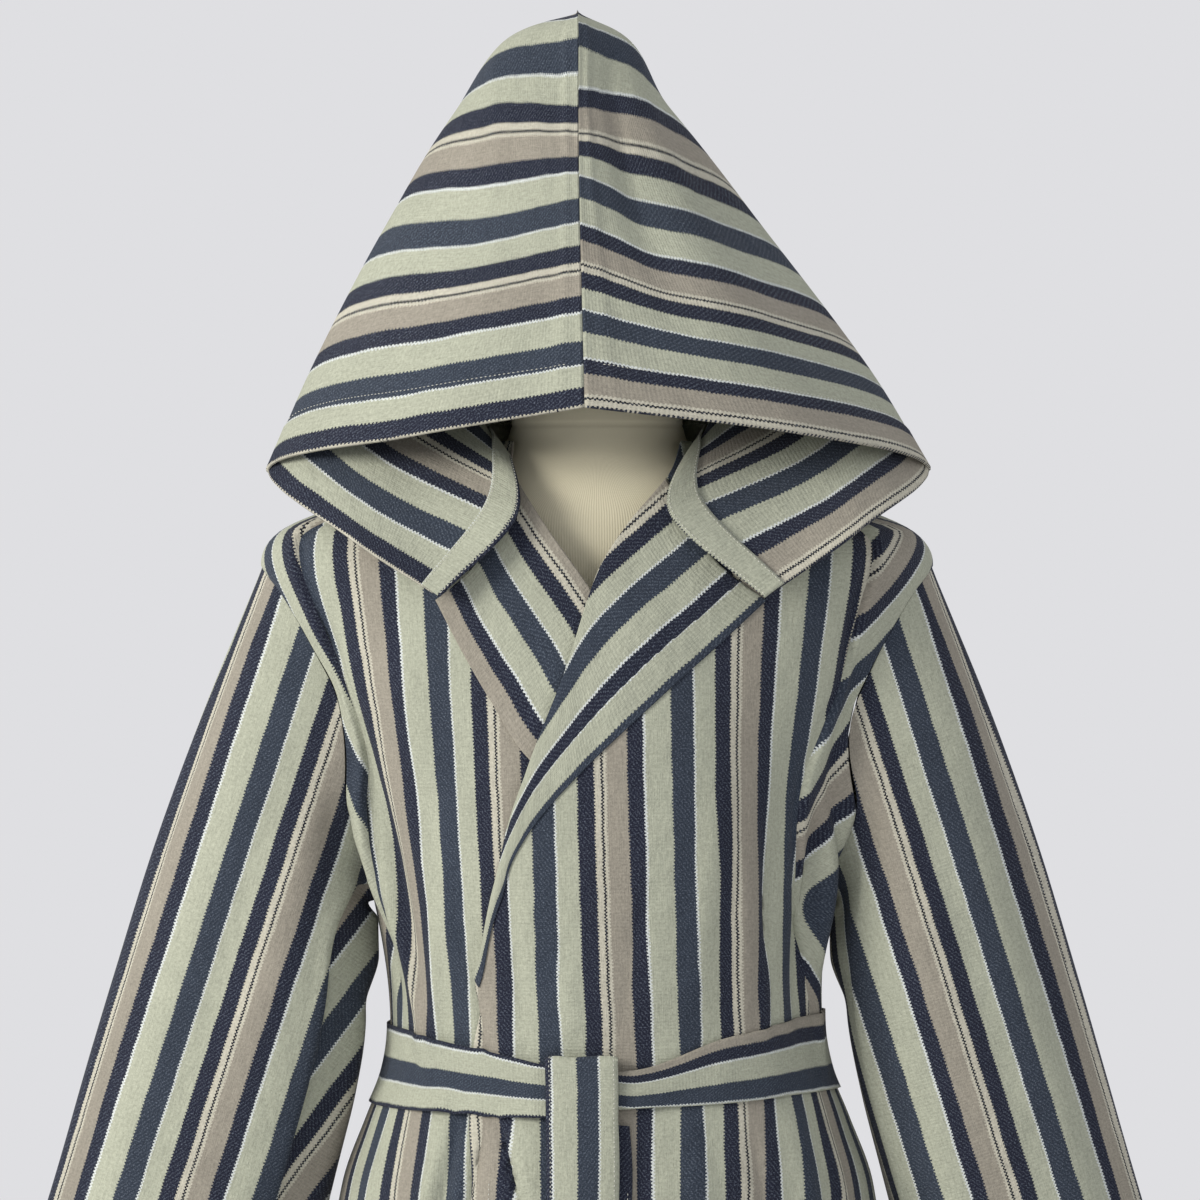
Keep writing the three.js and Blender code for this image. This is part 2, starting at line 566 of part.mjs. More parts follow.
// The torso: rings through the table, closed by a flat underside and a flat neck.
function dressForm() {
  const heights = [];
  for (let k = 0; k < FORM.length - 1; k++)
    for (const t of k > 8 || k < 2 ? [0] : [0, 0.5]) heights.push(mix(FORM[k].height, FORM[k + 1].height, t));
  heights.push(FORM[FORM.length - 1].height);
  const points = [];
  for (const height of heights)
    for (let j = 0; j < FORM_ROUND; j++) {
      const angle = (2 * Math.PI * j) / FORM_ROUND;
      const half = through(FORM, "height", height, (r) => r.half);
      const deep = through(FORM, "height", height, (r) => (Math.cos(angle) > 0 ? r.front : r.back));
      points.push(half * Math.sin(angle), -deep * Math.cos(angle), height);
    }
  const faces = [];
  const at = (i, j) => i * FORM_ROUND + (j % FORM_ROUND);
  for (let i = 0; i < heights.length - 1; i++)
    for (let j = 0; j < FORM_ROUND; j++)
      faces.push(at(i, j), at(i, j + 1), at(i + 1, j + 1), at(i, j), at(i + 1, j + 1), at(i + 1, j));
  const foot = heights.length * FORM_ROUND;
  points.push(0, 0, heights[0], 0, 0, heights[heights.length - 1]);
  for (let j = 0; j < FORM_ROUND; j++) {
    faces.push(foot, at(0, j + 1), at(0, j));
    faces.push(foot + 1, at(heights.length - 1, j), at(heights.length - 1, j + 1));
  }
  const geometry = new THREE.BufferGeometry();
  geometry.setAttribute("position", new THREE.Float32BufferAttribute(points, 3));
  geometry.setIndex(signedVolume(points, faces) < 0 ? faces.reverse() : faces);
  geometry.computeVertexNormals();
  const mesh = new THREE.Mesh(geometry, jersey);
  mesh.name = "form_torso";
  return mesh;
}

// A turned piece about the Z axis from its profile, pairs of radius and height.
function turned(name, profile, material, segments) {
  const geometry = new THREE.LatheGeometry(profile.map(([r, z]) => new THREE.Vector2(r, z)), segments);
  geometry.rotateX(Math.PI / 2);
  const mesh = new THREE.Mesh(geometry, material);
  mesh.name = name;
  return mesh;
}

function stand() {
  const under = FORM[0].height;
  const { radius, height, bevel } = BASE;
  const socketFoot = under - SOCKET.height;
  const base = [[0, 0], [radius, 0], [radius, height - bevel], [radius - bevel, height], [0, height]];
  const pole = [[0, height + 0.3], [POLE_RADIUS, height + 0.3], [POLE_RADIUS, socketFoot - 0.3], [0, socketFoot - 0.3]];
  const socket = [[0, socketFoot], [SOCKET.radius, socketFoot], [SOCKET.radius, under - 0.3], [0, under - 0.3]];
  return [
    turned("stand_base", base, steel, 48),
    turned("stand_pole", pole, steel, 20),
    turned("form_socket", socket, steel, 24),
  ];
}

// ---- Assembly ------------------------------------------------------------------------------------------------
const robe = new THREE.Group();
robe.add(
  frontPanel("front_right", UNDER_EDGE, false),
  frontPanel("front_left", OVER_EDGE, true),
  backPanel(),
  lapel("lapel_right", UNDER_LAPEL, false),
  lapel("lapel_left", OVER_LAPEL, true),
  sleeve("sleeve_left", LEFT_SLEEVE, 1),
  sleeve("sleeve_right", RIGHT_SLEEVE, -1),
  hoodHalf("hood_left", HOOD_LEFT, 1),
  hoodHalf("hood_right", HOOD_RIGHT, -1),
  neckTape("neck_tape_left", HOOD_LEFT, 1),
  neckTape("neck_tape_right", HOOD_RIGHT, -1),
  beltLoop(),
  tail("belt_tail_front", FRONT_TAIL, 0),
  tail("belt_tail_back", BACK_TAIL, 8),
);

const part = new THREE.Group();
part.add(robe, dressForm(), ...stand());

export default part;
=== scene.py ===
import math

import bpy
import numpy as np
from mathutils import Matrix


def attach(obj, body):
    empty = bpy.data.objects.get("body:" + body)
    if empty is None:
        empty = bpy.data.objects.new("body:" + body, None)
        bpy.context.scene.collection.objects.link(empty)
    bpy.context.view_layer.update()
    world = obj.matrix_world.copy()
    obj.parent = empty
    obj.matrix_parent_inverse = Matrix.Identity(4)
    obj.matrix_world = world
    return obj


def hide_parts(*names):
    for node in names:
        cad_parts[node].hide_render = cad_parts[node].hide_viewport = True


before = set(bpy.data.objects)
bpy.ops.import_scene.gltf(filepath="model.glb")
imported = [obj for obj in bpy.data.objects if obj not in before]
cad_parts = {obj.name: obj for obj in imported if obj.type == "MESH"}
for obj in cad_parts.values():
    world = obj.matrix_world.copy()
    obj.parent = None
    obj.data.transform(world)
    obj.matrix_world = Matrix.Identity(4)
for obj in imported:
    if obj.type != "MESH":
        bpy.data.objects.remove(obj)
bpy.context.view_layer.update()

# ---- Camera, light and floor ---------
# A hooded bathrobe on a dress form, seen straight from the front at chest height through a long lens. A
# pale surround lights it softly from all sides, and one broad light comes from its own right.
VIEW_ACROSS = 0.889
VIEW_CENTRE = (0.0022, -0.06, 1.3224)
CAMERA_AWAY = 4.0
SENSOR = 36.0

camera = bpy.data.objects.new("camera", bpy.data.cameras.new("camera"))
bpy.context.collection.objects.link(camera)
camera.data.sensor_width = SENSOR
camera.data.lens = SENSOR * CAMERA_AWAY / VIEW_ACROSS
camera.location = (VIEW_CENTRE[0], VIEW_CENTRE[1] - CAMERA_AWAY, VIEW_CENTRE[2])
camera.rotation_euler = (math.radians(90), 0, 0)
bpy.context.scene.camera = camera


def linear(hex_colour):
    """The linear colour of an sRGB hex value: each channel's sRGB curve undone."""
    channels = [int(hex_colour[k:k + 2], 16) / 255 for k in (1, 3, 5)]
    return [c / 12.92 if c <= 0.04045 else ((c + 0.055) / 1.055) ** 2.4 for c in channels] + [1.0]


def node(material, kind, *values, inputs=None, **settings):
    """Adds a shader node. Its operation may follow its kind; values go to its sockets in order, inputs by
    name, each a number, a colour, a socket or another node; settings are its own properties."""
    kind, _, operation = kind.partition(" ")
    made = material.node_tree.nodes.new("ShaderNode" + kind)
    for name, value in (settings | ({"operation": operation} if operation else {})).items():
        setattr(made, name, value)
    for name, value in (dict(enumerate(values)) | (inputs or {})).items():
        if isinstance(value, bpy.types.Node):
            value = next(socket for socket in value.outputs if socket.enabled)
        if isinstance(value, bpy.types.NodeSocket):
            material.node_tree.links.new(value, made.inputs[name])
        else:
            made.inputs[name].default_value = value
    return made


def finish_material(material, shader, height, strength, distance, colour=None):
    """Joins a relief of a strength and a distance in metres, and a colour, to the shader."""
    bump = node(material, "Bump", inputs={"Strength": strength, "Distance": distance, "Height": height})
    material.node_tree.links.new(bump.outputs[0], shader.inputs["Normal"])
    if colour:
        material.node_tree.links.new(colour.outputs[2], shader.inputs["Base Color"])
    return material


def new_material(name, **shader):
    """A Principled material with values by socket name, returned with its shader node."""
    material = bpy.data.materials.new(name)
    material.use_nodes = True
    made = next(n for n in material.node_tree.nodes if n.type == "BSDF_PRINCIPLED")
    for socket, value in shader.items():
        made.inputs[socket.replace("_", " ")].default_value = value
    return material, made


def light(name, place, target, size, watts, colour):
    """A square area light of a size at a place, turned to face a target."""
    lamp = bpy.data.objects.new(name, bpy.data.lights.new(name, "AREA"))
    bpy.context.collection.objects.link(lamp)
    lamp.data.size = size
    lamp.data.energy = watts
    lamp.data.color = linear(colour)[:3]
    lamp.location = place
    away = np.array(place) - np.array(target)
    flat = math.hypot(away[0], away[1])
    lamp.rotation_euler = (math.atan2(flat, away[2]), 0, math.atan2(away[0], -away[1]))


light("window", (-3.4, -2.3, 2.5), target=(0, 0, 1.3), size=1.6, watts=165, colour="#fffbf4")

world = bpy.data.worlds.new("pale room")
bpy.context.scene.world = world
world.use_nodes = True
surround = next(n for n in world.node_tree.nodes if n.type == "BACKGROUND")
surround.inputs["Color"].default_value = linear("#dfdfe2")
surround.inputs["Strength"].default_value = 1.0
bpy.context.scene.view_settings.view_transform = "Standard"

FLOOR_RADIUS = 2.6
floor_mesh = bpy.data.meshes.new("floor")
turns = np.linspace(0, 2 * np.pi, 96, endpoint=False)
rim = np.stack([FLOOR_RADIUS * np.cos(turns), FLOOR_RADIUS * np.sin(turns), 0 * turns], 1)
floor_mesh.from_pydata(rim.tolist(), [], [list(range(len(rim)))])
floor = bpy.data.objects.new("floor", floor_mesh)
bpy.context.collection.objects.link(floor)
floor_paint, _ = new_material("matte floor paint", Base_Color=linear("#e2e2e3"), Roughness=0.8)
floor_mesh.materials.append(floor_paint)

# ---- The body's back -----------------
# The robe's body is one tube of cotton cloth. The back is its rear half, from the neck and shoulder seams
# to the hem, with an armhole cut from each side. It hangs from the form's shoulders, drawn in by the belt.
MM = 0.001
CLOTH = 1.4  # one layer of the cloth, in millimetres as all sizes of the pieces below
SIDE = 300  # cloth from the centre to the side seam
HEM, NECK_TOP = 225, 1440
ARMHOLE_CENTRE, ARMHOLE_REACH, ARMHOLE_DEPTH = 1222, 126, 78
SEAM_GAP = 0.5  # from the side seam to each piece's cut edge

BODY_COLUMNS = ("height", "half", "front", "back", "mid", "cloth")
BODY = [
    (225, 262, 172, 168, 0, 300), (450, 247, 158, 156, 1, 300), (600, 234, 148, 146, 3, 300),
    (772, 213, 137, 133, 6, 300), (885, 198, 128, 122, 8, 300), (935, 180, 119, 114, 8, 300),
    (970, 166, 113, 107, 8, 300), (1005, 161, 115, 108, 7, 300), (1060, 164, 121, 112, 5, 300),
    (1130, 177, 127, 117, 3, 300), (1200, 197, 129, 119, 1, 300), (1270, 224, 124, 115, 0, 300),
    (1320, 243, 116, 108, 0, 300), (1352, 251, 109, 102, 0, 298), (1372, 238, 104, 98, 0, 281),
    (1388, 204, 99, 93, 0, 246), (1402, 160, 93, 88, 0, 202), (1415, 118, 86, 83, 0, 160),
    (1428, 89, 79, 80, 0, 132), (1440, 77, 75, 79, 0, 119),
]

# Folds and small creases of the body's cloth: the heights of both ends, the places across at them, half
# width and rise.
FOLDS = {
    "front": [
        (1330, 1060, -262, -205, 17, 13), (1290, 1000, -215, -168, 13, -7), (1330, 1040, 258, 205, 16, 13),
        (1300, 985, 214, 172, 13, -8), (1240, 960, 190, 232, 12, 8), (1120, 965, -215, -150, 11, 6),
        (965, 700, -128, -168, 12, 9), (965, 760, 150, 176, 14, 6), (1180, 1010, -120, -132, 9, 2.34),
        (1150, 985, -70, -62, 8, -2.08), (1215, 1000, 96, 60, 11, 2.6), (1120, 985, 30, 8, 9, -2.34),
        (1260, 1060, 165, 128, 12, -2.86), (1240, 1030, -178, -120, 12, 3.12),
        (1090, 990, 142, 120, 8, 2.86), (1070, 985, -30, -22, 9, 2.34), (945, 830, 60, 74, 9, 3.38),
        (945, 810, 108, 128, 8, -3.12), (940, 780, -60, -74, 10, 3.12), (945, 850, -92, -112, 7, -3.9),
        (940, 800, 196, 214, 10, 3.64), (935, 760, -205, -222, 11, 3.9), (940, 860, 20, 22, 8, -2.6),
        (760, 480, 40, 66, 22, 3.9), (700, 420, -70, -92, 24, -3.9), (1335, 1210, -196, -238, 12, -3.9),
        (1330, 1190, 190, 236, 12, -4.42), (1250, 1120, 244, 226, 8, 5.2), (1200, 1085, 205, 236, 7, -5.2),
        (1160, 1040, 236, 262, 7, 4.68), (1230, 1110, -236, -262, 8, 4.68),
        (1130, 1010, -240, -212, 8, -4.42), (950, 800, -118, -144, 6, -5.98),
        (948, 850, -82, -54, 5, -4.68), (950, 790, -104, -124, 8, 4.42), (1190, 1000, 128, 138, 7, -4.16),
        (1150, 985, 112, 108, 8, 3.38), (1300, 1180, -150, -138, 16, 3.38),
        (1060, 985, -104, -92, 6, -3.64), (1100, 985, -142, -150, 8, 3.9),
    ],
    "back": [
        (1310, 1010, -235, -178, 20, 10), (1300, 1020, 240, 170, 18, 11), (1150, 950, -90, -70, 17, 6),
        (1130, 960, 20, 30, 15, 7), (1160, 950, 120, 108, 18, 6), (1240, 1060, -150, -118, 14, -3.9),
        (1220, 1050, 168, 130, 13, 3.9), (1100, 985, -170, -160, 9, 3.38), (1090, 985, -20, -24, 10, -3.12),
        (1100, 985, 70, 74, 9, 3.64), (1080, 985, 190, 176, 9, -3.64), (945, 800, -120, -140, 11, 4.16),
        (945, 780, -30, -34, 12, -4.16), (945, 790, 60, 70, 11, 4.42), (940, 810, 160, 184, 10, -4.16),
        (1395, 1300, -70, -100, 16, 2.6), (1395, 1290, 82, 112, 15, -2.6), (700, 380, 100, 128, 24, 5.2),
        (690, 400, -60, -80, 22, -5.2),
    ],
}
# Hanging waves of the skirt: how many across one side, phase in turns, depth at the hem.
WAVES = {
    "front": [(2.6, 0.13, 8), (4.1, 0.55, 4), (9.3, 0.71, 1.2)],
    "back": [(3.2, 0.31, 10), (4.7, 0.05, 4), (8.7, 0.43, 1.4)],
}


def between(low, high, slope_low, slope_high, span, t):
    """The cubic from low to high with a slope at each end, where t is the share of the span."""
    rise = t * t * (3 - 2 * t)
    bend = slope_low * t * (1 - t) ** 2 - slope_high * t * t * (1 - t)
    return low * (1 - rise) + high * rise + span * bend


def through(keys, values, at):
    """A smooth curve through values at rising keys, with each slope taken from the rows on either side."""
    keys, values = np.asarray(keys, float), np.asarray(values, float)
    low = np.clip(np.searchsorted(keys, at, side="right") - 1, 0, len(keys) - 2)
    rows = np.arange(len(keys))
    before, after = np.maximum(rows - 1, 0), np.minimum(rows + 1, len(keys) - 1)
    slope = (values[after] - values[before]) / (keys[after] - keys[before])
    span = keys[low + 1] - keys[low]
    t = np.clip((at - keys[low]) / span, 0, 1)
    return between(values[low], values[low + 1], slope[low], slope[low + 1], span, t)


def curve(table, at, column=1):
    """A table's column as a smooth curve over its first one."""
    rows = np.asarray(table, float)
    return through(rows[:, 0], rows[:, column], at)


def eased(start, stop, at):
    """0 before start, 1 after stop, and a smooth step between them."""
    t = np.clip((np.asarray(at, float) - start) / (stop - start), 0, 1)
    return t * t * (3 - 2 * t)


def body_column(name, height):
    """One column of the body's table, smooth over height."""
    return curve(BODY, height, BODY_COLUMNS.index(name))


def drape(side, across, height):
    """How far the folds and waves move the cloth out: a bell across each fold, a half sine down it."""
    out = np.zeros_like(across + height)
    for top, foot, at_top, at_foot, wide, rise in FOLDS[side]:
        t = np.clip((top - height) / (top - foot), 0, 1)
        bell = np.exp(-(((across - at_top - (at_foot - at_top) * t) / wide) ** 2))
        out += rise * bell * np.sin(np.pi * t)
    fall = eased(930, HEM, height) * (1 - (across / SIDE) ** 8)
    for number, phase, rise in WAVES[side]:
        out += rise * fall * np.sin(2 * np.pi * (number * across / (2 * SIDE) + phase))
    return out


def body_middle(side, across, height):
    """A point of the body: an ellipse whose angle grows with the place across, moved out by the drape."""
    half, deep, cloth = (body_column(name, height) for name in ("half", side, "cloth"))
    share, pull = across / cloth, cloth / (half * np.pi / 2)
    angle = np.pi / 2 * (pull * share + (1 - pull) * share ** 3)
    facing = -1 if side == "front" else 1
    along = np.stack([np.sin(angle) * deep, facing * np.cos(angle) * half], -1)
    along /= np.linalg.norm(along, axis=-1, keepdims=True)
    out = drape(side, across, height)
    x = body_column("mid", height) + half * np.sin(angle) + along[..., 0] * out
    y = facing * deep * np.cos(angle) + along[..., 1] * out
    return np.stack([x, y, height + 0 * x], -1)


def on_body(side, across, height, out):
    """The body's point moved out along the cloth's own normal, found from points 1.5 mm to each side."""
    step = 1.5
    across, height, out = np.broadcast_arrays(np.asarray(across, float), height, out)
    top = np.minimum(NECK_TOP, height + step)
    wide = body_middle(side, across + step, height) - body_middle(side, across - step, height)
    tall = body_middle(side, across, top) - body_middle(side, across, top - 2 * step)
    normal = np.cross(wide, tall) * (1 if side == "front" else -1)
    normal /= np.linalg.norm(normal, axis=-1, keepdims=True)
    return body_middle(side, across, height) + normal * out[..., None]


def side_reach(height):
    """Cloth from the centre to the side seam, or to the armhole's oval."""
    t = (height - ARMHOLE_CENTRE) / ARMHOLE_REACH
    return body_column("cloth", height) - SEAM_GAP - ARMHOLE_DEPTH * np.sqrt(np.clip(1 - t * t, 0, 1))


def heights(rows):
    """Heights from the hem to the neck, closer together near the armhole's ends and the shoulder."""
    knots = [HEM, 700, 930, 1085, 1096, 1106, 1335, 1348, 1358, NECK_TOP]
    shares = [0, 0.27, 0.45, 0.58, 0.61, 0.64, 0.83, 0.87, 0.89, 1]
    return np.interp(np.linspace(0, 1, rows), shares, knots)


def normals_of(points, ring):
    """Unit normals of a grid: the cross product of its slopes down and along."""
    down = np.gradient(points, axis=0)
    if ring:
        along = np.roll(points, -1, axis=1) - np.roll(points, 1, axis=1)
    else:
        along = np.gradient(points, axis=1)
    normal = np.cross(down, along)
    return normal / np.maximum(np.linalg.norm(normal, axis=-1, keepdims=True), 1e-9)


lines = {}  # each piece's grids, for the stitches that follow its edges


def closed(grid):
    """A ring's grid with its first column again at its end."""
    return np.concatenate([grid, grid[:, :1]], 1)


def cloth_piece(name, points, stripe, material, wall=CLOTH, outward=1, ring=False, normal=None):
    """A wall of cloth: a grid of points in millimetres, the same grid moved out along its normals, and the
    rim. stripe is the cloth's own map, across and along the stripes in millimetres: one grid, or a pair for
    the near and far side of each strip of cells, where a crease hides cloth and the pattern jumps."""
    rows, columns = points.shape[:2]
    normal = normals_of(points, ring) * outward if normal is None else normal
    outer = points + normal * np.broadcast_to(wall, (rows, columns))[..., None]
    order = np.arange(2 * rows * columns).reshape(2, rows, columns)
    near, far = stripe if isinstance(stripe, tuple) else (stripe[:, :-1], stripe[:, 1:])
    marks = np.arange(near.shape[0] * near.shape[1]).reshape(near.shape[:2])
    other = marks + marks.size
    if ring:
        order = np.stack([closed(order[0]), closed(order[1])])
    quads, corners = [], []

    def add(flip, *grids):
        way = [0, 3, 2, 1] if flip else [0, 1, 2, 3]
        for kept, four in ((quads, grids[:4]), (corners, grids[4:])):
            kept.append(np.stack(four, -1).reshape(-1, 4)[:, way])

    for sheet, flip in ((1, outward < 0), (0, outward > 0)):
        g = order[sheet]
        add(flip, g[:-1, :-1], g[1:, :-1], g[1:, 1:], g[:-1, 1:],
            marks[:-1], marks[1:], other[1:], other[:-1])
    for line, way in ((0, outward), (-1, -outward)):
        (a, b), m, n = order[:, line], marks[line], other[line]
        add(way < 0, a[:-1], b[:-1], b[1:], a[1:], m, m, n, n)
        if not ring:
            (a, b), m = order[:, :, line], (marks if line == 0 else other)[:, line]
            add(way > 0, a[:-1], b[:-1], b[1:], a[1:], m[:-1], m[:-1], m[1:], m[1:])
    places = np.concatenate([points.reshape(-1, 3), outer.reshape(-1, 3)]) * MM
    lines[name] = (points, outer, normal)
    flat = np.concatenate([near.reshape(-1, 2), far.reshape(-1, 2)])
    return mesh_piece(name, places, np.concatenate(quads), material, flat[np.concatenate(corners).ravel()])


def mesh_piece(name, places, faces, material, marks=None):
    """A smooth mesh object at the origin from arrays of places in metres and faces of equal length."""
    mesh = bpy.data.meshes.new(name)
    sides = faces.shape[1]
    mesh.vertices.add(len(places))
    mesh.vertices.foreach_set("co", places.astype(np.float32).ravel())
    mesh.loops.add(faces.size)
    mesh.loops.foreach_set("vertex_index", faces.astype(np.int32).ravel())
    mesh.polygons.add(len(faces))
    mesh.polygons.foreach_set("loop_start", np.arange(0, faces.size, sides, dtype=np.int32))
    mesh.polygons.foreach_set("use_smooth", np.ones(len(faces), bool))
    if marks is not None:
        mesh.uv_layers.new(name="cloth map").data.foreach_set("uv", marks.astype(np.float32).ravel())
    mesh.materials.append(material)
    mesh.update(calc_edges=True)
    mesh.validate()
    piece = bpy.data.objects.new(name, mesh)
    bpy.context.collection.objects.link(piece)
    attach(piece, "root")
    return piece


def stitches(name, runs, pitch=3.5, long=2.3, wide=0.42, proud=0.12):
    """A piece's sewing, in one mesh: along each run of surface points and normals, a bead of thread at every
    pitch. A bead is two four-sided points set end to end."""
    places, faces, first = [], [], 0
    bead_faces = np.array([(end, a, b) if end else (end, b, a) for end in (0, 1)
                           for a, b in ((2, 3), (3, 4), (4, 5), (5, 2))])
    for points, normal in runs:
        steps = np.r_[0, np.cumsum(np.linalg.norm(np.diff(points, axis=0), axis=-1))]
        at = np.arange(pitch, steps[-1] - pitch, pitch)
        centre, up, ahead = (np.stack([np.interp(place, steps, column) for column in grid.T], -1)
                             for place, grid in ((at, points), (at, normal), (at + 0.5, points)))
        along = ahead - centre
        along /= np.maximum(np.linalg.norm(along, axis=-1, keepdims=True), 1e-6)
        side = np.cross(up, along)
        away = [-along * long / 2, along * long / 2, side * wide, up * wide, -side * wide, -up * wide]
        places.append(np.stack([centre + up * proud + step for step in away], 1).reshape(-1, 3))
        faces.append((first + np.arange(len(at))[:, None, None] * 6 + bead_faces).reshape(-1, 3))
        first += len(at) * 6
    made = mesh_piece(name, np.concatenate(places) * MM, np.concatenate(faces), thread)
    return made


# Spun polyester sewing thread: off-white and dull.
thread, _ = new_material("off-white sewing thread", Base_Color=linear("#c9c9bf"), Roughness=0.75)


def worn(solid, sewing, runs):
    """Hides a sewn piece's solid and adds its sewing as one mesh of stitches: runs are its rows of stitches.
    """
    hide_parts(solid)
    stitches(sewing, runs)


# The cloth: flat-woven cotton with yarn-dyed warp stripes, soft and matte, its stripe edges stepped by the
# weave. Each band is its width in millimetres and its colour; the whole repeat is 102 mm.
INDIGO, CREAM, THREAD_BLACK, TAUPE = "#1b1e2c", "#aca99b", "#12141b", "#8a857a"
THREAD_WHITE, PALE_GREEN, SLATE = "#bcc1bf", "#9b9e8e", "#2b323d"
BANDS = [(12.1, INDIGO), (4.8, CREAM), (1.5, THREAD_BLACK), (2.7, CREAM), (15.1, TAUPE), (11.6, INDIGO),
         (1.3, THREAD_WHITE), (19.4, PALE_GREEN), (16.6, SLATE), (1.3, THREAD_WHITE), (15.6, PALE_GREEN)]
REPEAT = sum(width for width, _ in BANDS)
YARN = 1.25  # spacing of the weft yarns, drawn a little coarser than real so that it shows


def striped_cotton():
    """Bands by the cloth map's first number; their edges wander by half a yarn and step from weft to weft."""
    cloth, shader = new_material("flat-woven striped cotton", Roughness=0.95, Sheen_Weight=0.05,
                                 Sheen_Roughness=0.6, Specular_IOR_Level=0.12)
    marks = node(cloth, "UVMap", uv_map="cloth map")
    across, along = node(cloth, "SeparateXYZ", marks).outputs[:2]
    fray, wander, fleck, cloud, nap, rumple = [
        node(cloth, "TexNoise", marks, inputs={"Scale": scale, "Detail": detail}) for scale, detail in
        ((0.9, 2.0), (0.03, 2.0), (0.95, 3.0), (0.012, 3.0), (0.42, 4.0), (0.034, 3.0))]
    weft = node(cloth, "Math FLOOR", node(cloth, "Math DIVIDE", along, YARN))
    step = node(cloth, "Math MULTIPLY", node(cloth, "Math PINGPONG", weft, 1.0), 0.85)
    step = node(cloth, "Math ADD", step, node(cloth, "Math MULTIPLY_ADD", fray, 1.8, -0.9))
    moved = node(cloth, "Math ADD", node(cloth, "Math ADD", across, step),
                 node(cloth, "Math MULTIPLY_ADD", wander, 2.4, -1.2))
    ramp = node(cloth, "ValToRGB", node(cloth, "Math FRACT", node(cloth, "Math DIVIDE", moved, REPEAT)))
    ramp.color_ramp.interpolation = "CONSTANT"
    elements = ramp.color_ramp.elements
    start = 0.0
    for k, (width, colour) in enumerate(BANDS):
        element = elements[k] if k < 2 else elements.new(start / REPEAT)
        element.position = start / REPEAT
        element.color = linear(colour)
        start += width
    # The dark bands show pale flecks and the twill's slant.
    slant = node(cloth, "Math ADD", across, node(cloth, "Math MULTIPLY", along, 0.8))
    slant = node(cloth, "Math SINE", node(cloth, "Math MULTIPLY", slant, 2.0))
    show = node(cloth, "Math MULTIPLY_ADD", fleck, 2.1, node(cloth, "Math MULTIPLY_ADD", slant, 0.13, -1.04))
    dark = node(cloth, "MapRange", node(cloth, "RGBToBW", ramp), inputs={"From Min": 0.09, "From Max": 0.05})
    show = node(cloth, "Math MAXIMUM", node(cloth, "Math MULTIPLY", dark, show), 0.0)
    pale = node(cloth, "Mix", show, inputs={6: ramp, 7: linear("#69727e")}, data_type="RGBA")
    # Yarn to yarn and patch to patch the dye differs a little, and the nap speckles it.
    streak = node(cloth, "CombineXYZ", node(cloth, "Math MULTIPLY", across, 1.3),
                  node(cloth, "Math MULTIPLY", along, 0.07))
    streak = node(cloth, "TexNoise", streak, inputs={"Scale": 1.0, "Detail": 3.0})
    bright = node(cloth, "Math ADD", node(cloth, "Math MULTIPLY_ADD", streak, 0.5, 0.08),
                  node(cloth, "Math MULTIPLY_ADD", cloud, 0.3, -0.05))
    speckle = node(cloth, "Math MULTIPLY_ADD", fleck, 0.6, node(cloth, "Math MULTIPLY", nap, 0.7))
    bright = node(cloth, "Math ADD", bright, speckle)
    tinted = node(cloth, "Mix", 1.0, inputs={6: pale, 7: bright}, data_type="RGBA", blend_type="MULTIPLY")
    # The relief: weft ridges, flecks and yarns, and a soft rumple some 30 mm across.
    ridge = node(cloth, "Math SINE", node(cloth, "Math MULTIPLY", along, math.pi / YARN))
    depth = node(cloth, "Math ADD", node(cloth, "Math MULTIPLY", fleck, 1.2),
                 node(cloth, "Math MULTIPLY_ADD", ridge, 0.16, streak))
    depth = node(cloth, "Math MULTIPLY_ADD", rumple, 10.0, depth)
    return finish_material(cloth, shader, depth, 0.5, 0.0009, tinted)


cotton = striped_cotton()


HEM_DEPTH, TURNED = 26, 1.1  # how far the foot is turned up, and how much thicker it is there


def turned_hem(height):
    """The wall's thickness: nearly doubled over the depth of the hem turned up at the foot."""
    return CLOTH + TURNED * (1 - eased(HEM + HEM_DEPTH - 1.5, HEM + HEM_DEPTH + 1.5, height))


BACK_ROWS, BACK_COLUMNS = 170, 170
height = heights(BACK_ROWS)[:, None] + np.zeros((1, BACK_COLUMNS))
across = np.linspace(-1, 1, BACK_COLUMNS)[None, :] * side_reach(height)
back = cloth_piece("robe_back", on_body("back", across, height, 0), np.stack([across + 40, height], -1),
                   cotton, turned_hem(height), outward=-1)


def hem_run(name):
    """A robe piece's row of stitches at the top of its hem, on the outside."""
    points, outer, normal = lines[name]
    row = int(np.argmin(np.abs(points[:, 0, 2] - HEM - HEM_DEPTH + 1)))
    return outer[row], normal[row]


worn("back", "back_hem_stitches", [hem_run("robe_back")])

# ---- The two fronts ------------------
# Each front runs from its side and shoulder seams across the chest to the line where it rolls back as a
# lapel. The wearer's left front lies over the right one, and the belt holds them.
OVER_EDGE = [(225, -112), (700, -108), (970, -105), (1033, -100), (1085, -88), (1122, -78), (1165, -65),
             (1200, -51), (1242, -34), (1282, -18), (1341, 0), (1374, 20), (1411, 51), (1440, 71)]
UNDER_EDGE = [(225, 112), (970, 104), (1085, 86), (1200, 50), (1282, 16), (1322, 0), (1345, -16),
              (1382, -43), (1419, -65), (1440, -71)]
OVER_LIFT = 5.3


def over_lift(across, height):
    """The top front lies above the other one and comes down past its edge."""
    return OVER_LIFT * (1 - eased(12, 100, across - curve(UNDER_EDGE, height)))


